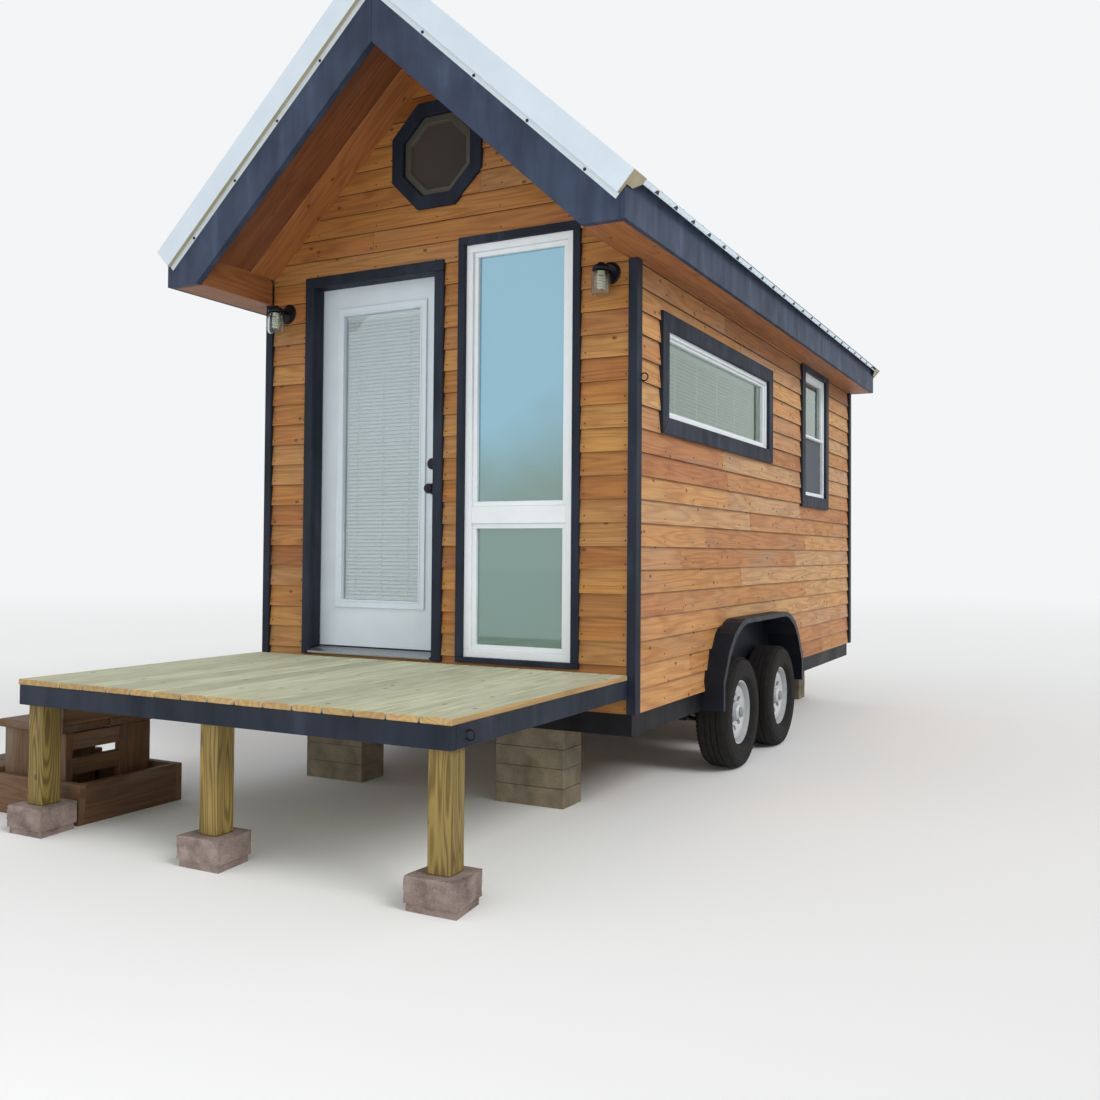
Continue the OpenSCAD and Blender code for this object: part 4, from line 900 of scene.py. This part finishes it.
def slats(box, plane, depth, tilt, side=0):
    """The tilted slats of a blind, 21 mm apart; side is as in slab."""
    left, right, z, high = box
    parts = []
    while z < high:
        if side:
            size, turn = (depth, right - left, 0.9), Matrix.Rotation(side * tilt, 4, "Y")
            centre = at(side * plane, (left + right) / 2, z)
        else:
            size, turn = (right - left, depth, 0.9), Matrix.Rotation(tilt, 4, "X")
            centre = at((left + right) / 2, plane, z)
        parts.append(cube(Vector(size) * MM, Matrix.Translation(centre) @ turn))
        z += 21
    return parts


def side_blinds():
    """A blind with four cords behind each wide window, its head rail at the top."""
    shades, cords = [], []
    for side in (1, -1):
        shades += slats((452, 2180, 2030, 2400), 1066, 25, 0.8, side)
        cords.append(slab((450, 2182, 2404, 2436), 1080, 28, side))
        cords += [slab((y - 4, y + 4, 2028, 2404), 1082, 2, side) for y in (775, 1120, 1465, 1810)]
    finish("side_blinds", shades, dim_slats)
    finish("side_blind_cords", cords, blind_white)


window_frames()
octagon_window()
panes()
side_blinds()


# Door
def door_leaf():
    """The enamelled leaf, with a raised moulding in two beads round the glass."""
    finish("door_leaf_eased", chamfer(merged("door_leaf"), 1.2), door_enamel, body="door", node="door_leaf")
    beads = bars(grown(LITE, 44), 9, 87, 4) + bars(grown(LITE, 11), 10, 87, 4)
    finish("lite_beads", [chamfer(part, 1.6) for part in beads], door_enamel, body="door")


def door_glazing():
    """Two panes with a closed blind between them."""
    left, right, low, high = LITE
    both = [slab(LITE, 111, 3), slab(LITE, 127, 2)]
    finish("door_panes", both, door_glass, body="door", node="door_glass")
    parts = slats((left + 6, right - 6, low + 20, high - 26), 120.5, 24.0, 1.2)
    parts.append(slab((left + 4, right - 4, high - 22, high - 1), 115.5, 10))
    parts.append(slab((left + 4, right - 4, low + 1, low + 10), 116.5, 8))
    parts += [block((x - 1, 114.2, low + 6), (x + 1, 115.0, high - 10)) for x in (-600, -419, -238)]
    finish("door_blind", parts, blind_white, body="door")


def door_sill():
    """Ridged aluminium sill."""
    parts = [chamfer(merged("door_sill"), 1.2)]
    for k in range(4):
        parts.append(chamfer(block((-835, 40 + 10 * k, 733), (-3, 44 + 10 * k, 737.5 + 0.8 * k)), 0.8))
    finish("door_sill_ridged", parts, aluminium, node="door_sill")


door_leaf()
door_glazing()
door_sill()
paint(zinc, "door_hinges")
paint(dark_bronze, "door_handles")


# Lights
PLATE = [(0, 0), (57, 0), (57, 8), (52, 14), (46, 16), (42, 26), (0, 28)]
HOOD = [(0, -18), (30, -18), (30, -9), (44, -9), (45, -2), (42, 8), (38, 14), (20, 20), (16, 28), (0, 28)]
JAR = [(0, -136), (32, -134), (42, -126), (45, -112), (45, -60), (44, -34), (36, -22), (34, -12),
       (31, -12), (33, -23), (41, -36), (42, -60), (42, -111), (39, -123), (30, -130), (0, -132)]


def ribbed_jar(x):
    """A pressed jar, on which every other line of points stands out a little."""
    steps = 40
    made = lathe(JAR, (x, LIGHT_Y, LIGHT_Z), ALONG_Z, steps)
    centre = at(x, LIGHT_Y, 0)
    for v in made.verts:
        away = Vector((v.co.x - centre.x, v.co.y - centre.y, 0))
        if away.length > 0.0415 and round(math.atan2(away.y, away.x) / (2 * math.pi / steps)) % 2:
            v.co += away.normalized() * 0.0012
    return made


def spiral_bulb(x):
    """A tube 11 mm thick, wound five times downward."""
    made = bmesh.new()
    upright = Matrix.Translation((0.017, 0, 0)) @ Matrix.Rotation(math.pi / 2, 4, "X")
    ring = bmesh.ops.create_circle(made, cap_ends=True, segments=10, radius=0.0055, matrix=upright)
    bmesh.ops.spin(made, geom=ring["verts"] + made.edges[:] + made.faces[:], cent=(0, 0, 0), axis=(0, 0, 1),
                   dvec=(0, 0, -0.0007), angle=2 * math.pi * 5, steps=90)
    bmesh.ops.recalc_face_normals(made, faces=made.faces)
    bmesh.ops.translate(made, vec=at(x, LIGHT_Y, LIGHT_Z - 36), verts=made.verts)
    return made


def wall_lights():
    """Round plate, arm, hood and ribbed jar with a spiral bulb, one each side of the front."""
    metal, glass, bulbs = [], [], []
    for x in LIGHTS:
        metal.append(lathe(PLATE, (x, WALL_Y, LIGHT_Z), -ALONG_Y))
        metal.append(lathe(HOOD, (x, LIGHT_Y, LIGHT_Z), ALONG_Z))
        metal.append(rod((x, -36, LIGHT_Z + 6), ALONG_Y, 10, 84))
        glass.append(ribbed_jar(x))
        bulbs.append(spiral_bulb(x))
        bulbs.append(rod((x, LIGHT_Y, LIGHT_Z - 26), ALONG_Z, 19, 16, 20))
    finish("light_metal", metal, dark_bronze, node="light_brackets")
    finish("jars_ribbed", glass, jar_glass, node="light_jars", smooth=True)
    finish("spiral_bulbs", bulbs, bulb_white)


wall_lights()


# Running gear
def tread_outline():
    """The tyre's section, with three grooves in the tread and raised rings on the sidewall."""
    tread = [(189, -74), (209, -92), (249, -102.5), (291, -99), (319, -84), (331, -68)]
    for groove in (-35, 0, 35):
        tread += [(331, groove - 3), (323, groove - 2), (323, groove + 2), (331, groove + 3)]
    return tread + [(331, 68), (319, 84), (296, 98), (290, 101), (282, 101), (276, 99), (252, 102.3),
                    (230, 99), (226, 101), (214, 97), (209, 92), (189, 74)]


def wheel(axle, side, lugs=72):
    """A ribbed tyre with lugs on its shoulders, and a disc wheel with nuts and a cap."""
    name = axle + ("_right" if side > 0 else "_left")
    x, y, z = side * WHEEL_X, WHEELS[axle], WHEEL_Z
    out = ALONG_X * side
    parts = [lathe(tread_outline(), (x, y, z), out, steps=72, closed=True)]
    for k in range(lugs):
        for sign in (1, -1):
            turn = Matrix.Rotation(2 * math.pi * (k + (0.5 if sign > 0 else 0)) / lugs, 4, "X")
            spot = Matrix.Translation(at(x, y, z)) @ turn @ Matrix.Translation((sign * 0.080, 0, 0.3175))
            parts.append(cube((0.020, 0.016, 0.012), spot @ Matrix.Rotation(sign * 0.6, 4, "Y")))
    finish("treaded_tyre_" + name, parts, rubber, body="wheel_" + name, node="tyre_" + name)
    cap = [(0, 0), (30, 0), (30, 6), (27, 12), (14, 16), (0, 17)]
    nuts = [lathe(cap, (x + side * 75.9, y, z), out, steps=24)]
    for spot_y, spot_z in ring_of(5, 62, y, z, math.pi / 2):
        nuts.append(rod((x + side * 27, spot_y, spot_z), out, 10.5, 22, 6))
        nuts.append(rod((x + side * 41, spot_y, spot_z), out, 7, 8, 12, 4))
    finish("wheel_nuts_" + name, nuts, zinc, body="wheel_" + name)
    paint(wheel_silver, "rim_" + name)


for axle in WHEELS:
    wheel(axle, 1)
    wheel(axle, -1)
paint(chassis, "frame_rails", "frame_crossmembers", "tongue", "axles", "leaf_springs", "tongue_jack",
      "coupler")
paint(fender_paint, "fenders")


# Deck
def deck_boards():
    """Deck boards with eased edges and pairs of screws over every joist."""
    rows = [extent(part) for part in solids("deck_joists")]
    screws = []
    for part in solids("deck_floor"):
        low, high = extent(part)
        for back, front in rows:
            y = (((back + front) / 2).y - HOUSE.y) / MM
            for edge in (low.x + 0.022, high.x - 0.022):
                x = (edge - HOUSE.x) / MM
                place = (x + draw.uniform(-3, 3), y + draw.uniform(-4, 4), DECK_Z - 0.9)
                screws.append(rod(place, ALONG_Z, 4.2, 1.8, 8))
        part.free()
    timber("deck_boards", "deck_floor", deck_pine, 3.0, ALONG_Y, end_coat=deck_end)
    finish("deck_screws", screws, zinc)


def hook_rings():
    """A screw eye in the deck's right rim and a hook ring on the right corner trim."""
    parts = []
    section = [(19 + across, up) for across, up in ring_of(8, 3.6)]
    for x, y, z in ((1170, -1405, 626), (1211, 50, 2147)):
        parts.append(lathe(section, (x, y, z), ALONG_Y, steps=24, closed=True))
        parts.append(rod((x - 24, y, z), ALONG_X, 3.6, 12, 10))
    finish("hook_rings", parts, dark_bronze, smooth=True)


def split_blocks():
    """The rough blocks under the posts, their faces broken, the front face most."""
    parts = []
    for part in solids("post_blocks"):
        bmesh.ops.subdivide_edges(part, edges=part.edges[:], cuts=15, use_grid_fill=True)
        low, high = extent(part)
        middle = (low + high) / 2
        for v in part.verts:
            if v.co.z > high.z - 0.0005 or v.co.z < low.z + 0.0005:
                edge = 1.6 if min(high.x - v.co.x, v.co.x - low.x, v.co.y - low.y) < 0.004 else 0.0
            else:
                edge = 1.0
            rough = 0.5 + 0.5 * noise.noise(v.co * 42) + draw.uniform(-0.2, 0.2)
            depth = max(0.0, rough) * (0.006 if v.co.y - low.y < 0.002 else 0.0035)
            v.co += Vector((middle.x - v.co.x, middle.y - v.co.y, 0)).normalized() * depth * edge
        parts.append(part)
    finish("post_blocks_rough", parts, split_block, node="post_blocks")


def pier_courses(courses=4):
    """Each pier as courses of solid blocks."""
    parts = []
    for part in solids("piers"):
        low, high = extent(part)
        part.free()
        middle = (low + high) / 2
        step = (high.z - low.z) / courses
        for k in range(courses):
            inset = draw.uniform(0, 0.003)
            joint = 0.0015 if k < courses - 1 else 0
            size = Vector((high.x - low.x - 2 * inset, high.y - low.y - inset, step - joint))
            place = (middle.x, middle.y, low.z + step * k + size.z / 2)
            parts.append(chamfer(cube(size, Matrix.Translation(place)), 2.5, 2))
    finish("pier_courses", parts, pier_concrete, node="piers")


deck_boards()
hook_rings()
split_blocks()
pier_courses()
timber("joists", "deck_joists", shaded_post_pine, 2.0, ALONG_X)
timber("porch_posts", "deck_posts", shaded_post_pine, 5.0, ALONG_Z)
timber("step_boards", "steps", step_cedar, 3.0)
timber("step_box_boards", "step_box", step_cedar, 3.0)
paint(framing, "floor", "front_wall_left", "front_wall_middle", "front_wall_right", "front_gable",
      "rear_wall", "left_wall", "right_wall", "roof_left", "roof_right")


# Light and floor
def world_light():
    """Even light from a pale sky, behind which the camera and the panes see the white backdrop."""
    world = bpy.data.worlds.new("studio")
    bpy.context.scene.world = world
    world.use_nodes = True
    tree = world.node_tree
    back = tree.nodes["Background"]
    feed(tree, back, {"Color": colour("f0f4f8"), "Strength": 0.62})
    white = add(tree, "Background", {"Color": colour("f4f5f6"), "Strength": 1.0})
    through = 0.0
    for ray in ("Is Camera Ray", "Is Glossy Ray", "Is Transmission Ray"):
        through = add(tree, "Math", {0: through, 1: add(tree, "LightPath", out=ray)}, operation="MAXIMUM")
    mixed = add(tree, "MixShader", {0: through, 1: back.outputs[0], 2: white})
    feed(tree, tree.nodes["World Output"], {"Surface": mixed})


def paper_floor():
    """Matt paper, nearly white; the camera sees it fade into the backdrop far behind the house."""
    sheet = bmesh.new()
    bmesh.ops.create_grid(sheet, x_segments=1, y_segments=1, size=60)
    data = bpy.data.meshes.new("floor_sheet")
    sheet.to_mesh(data)
    sheet.free()
    paper, tree, shader = material("floor_paper", Base_Color=colour("eeedeb"), Roughness=0.9)
    away = add(tree, "VectorMath", {0: add(tree, "TexCoord", out="Object")}, operation="LENGTH")
    far = add(tree, "MapRange", {"Value": away, "From Min": 7.0, "From Max": 30.0},
              interpolation_type="SMOOTHSTEP")
    seen = add(tree, "LightPath", out="Is Camera Ray")
    share = add(tree, "Math", {0: far, 1: seen}, operation="MULTIPLY")
    haze = add(tree, "Emission", {"Color": colour("f4f5f6"), "Strength": 1.0})
    faded = add(tree, "MixShader", {0: share, 1: shader.outputs["BSDF"], 2: haze})
    feed(tree, tree.nodes["Material Output"], {"Surface": faded})
    data.materials.append(paper)
    ground = bpy.data.objects.new("floor_sheet", data)
    bpy.context.scene.collection.objects.link(ground)


def lamps():
    """Two broad suns, and a soft lamp under the front overhang."""
    for name, kind, energy, width, place, goal in (
            ("sun", "SUN", 1.7, 0.5, (9000, -800, 9500), (0, 1500, 1600)),
            ("fill", "SUN", 0.7, 1.4, (-6500, -8500, 4500), (0, 500, 1500)),
            ("under_eaves", "AREA", 90, 3.0, (1500, -5500, 900), (0, 0, 2600))):
        data = bpy.data.lights.new(name, kind)
        data.energy = energy
        # A sun's width is its angle in radians, a lamp's is its size in metres
        setattr(data, "angle" if kind == "SUN" else "size", width)
        lamp = bpy.data.objects.new(name, data)
        lamp.visible_glossy = False
        bpy.context.scene.collection.objects.link(lamp)
        lamp.location = at(*place)
        lamp.rotation_euler = (at(*goal) - at(*place)).to_track_quat("-Z", "Y").to_euler()


world_light()
paper_floor()
lamps()
bpy.context.scene.view_settings.view_transform = "Standard"
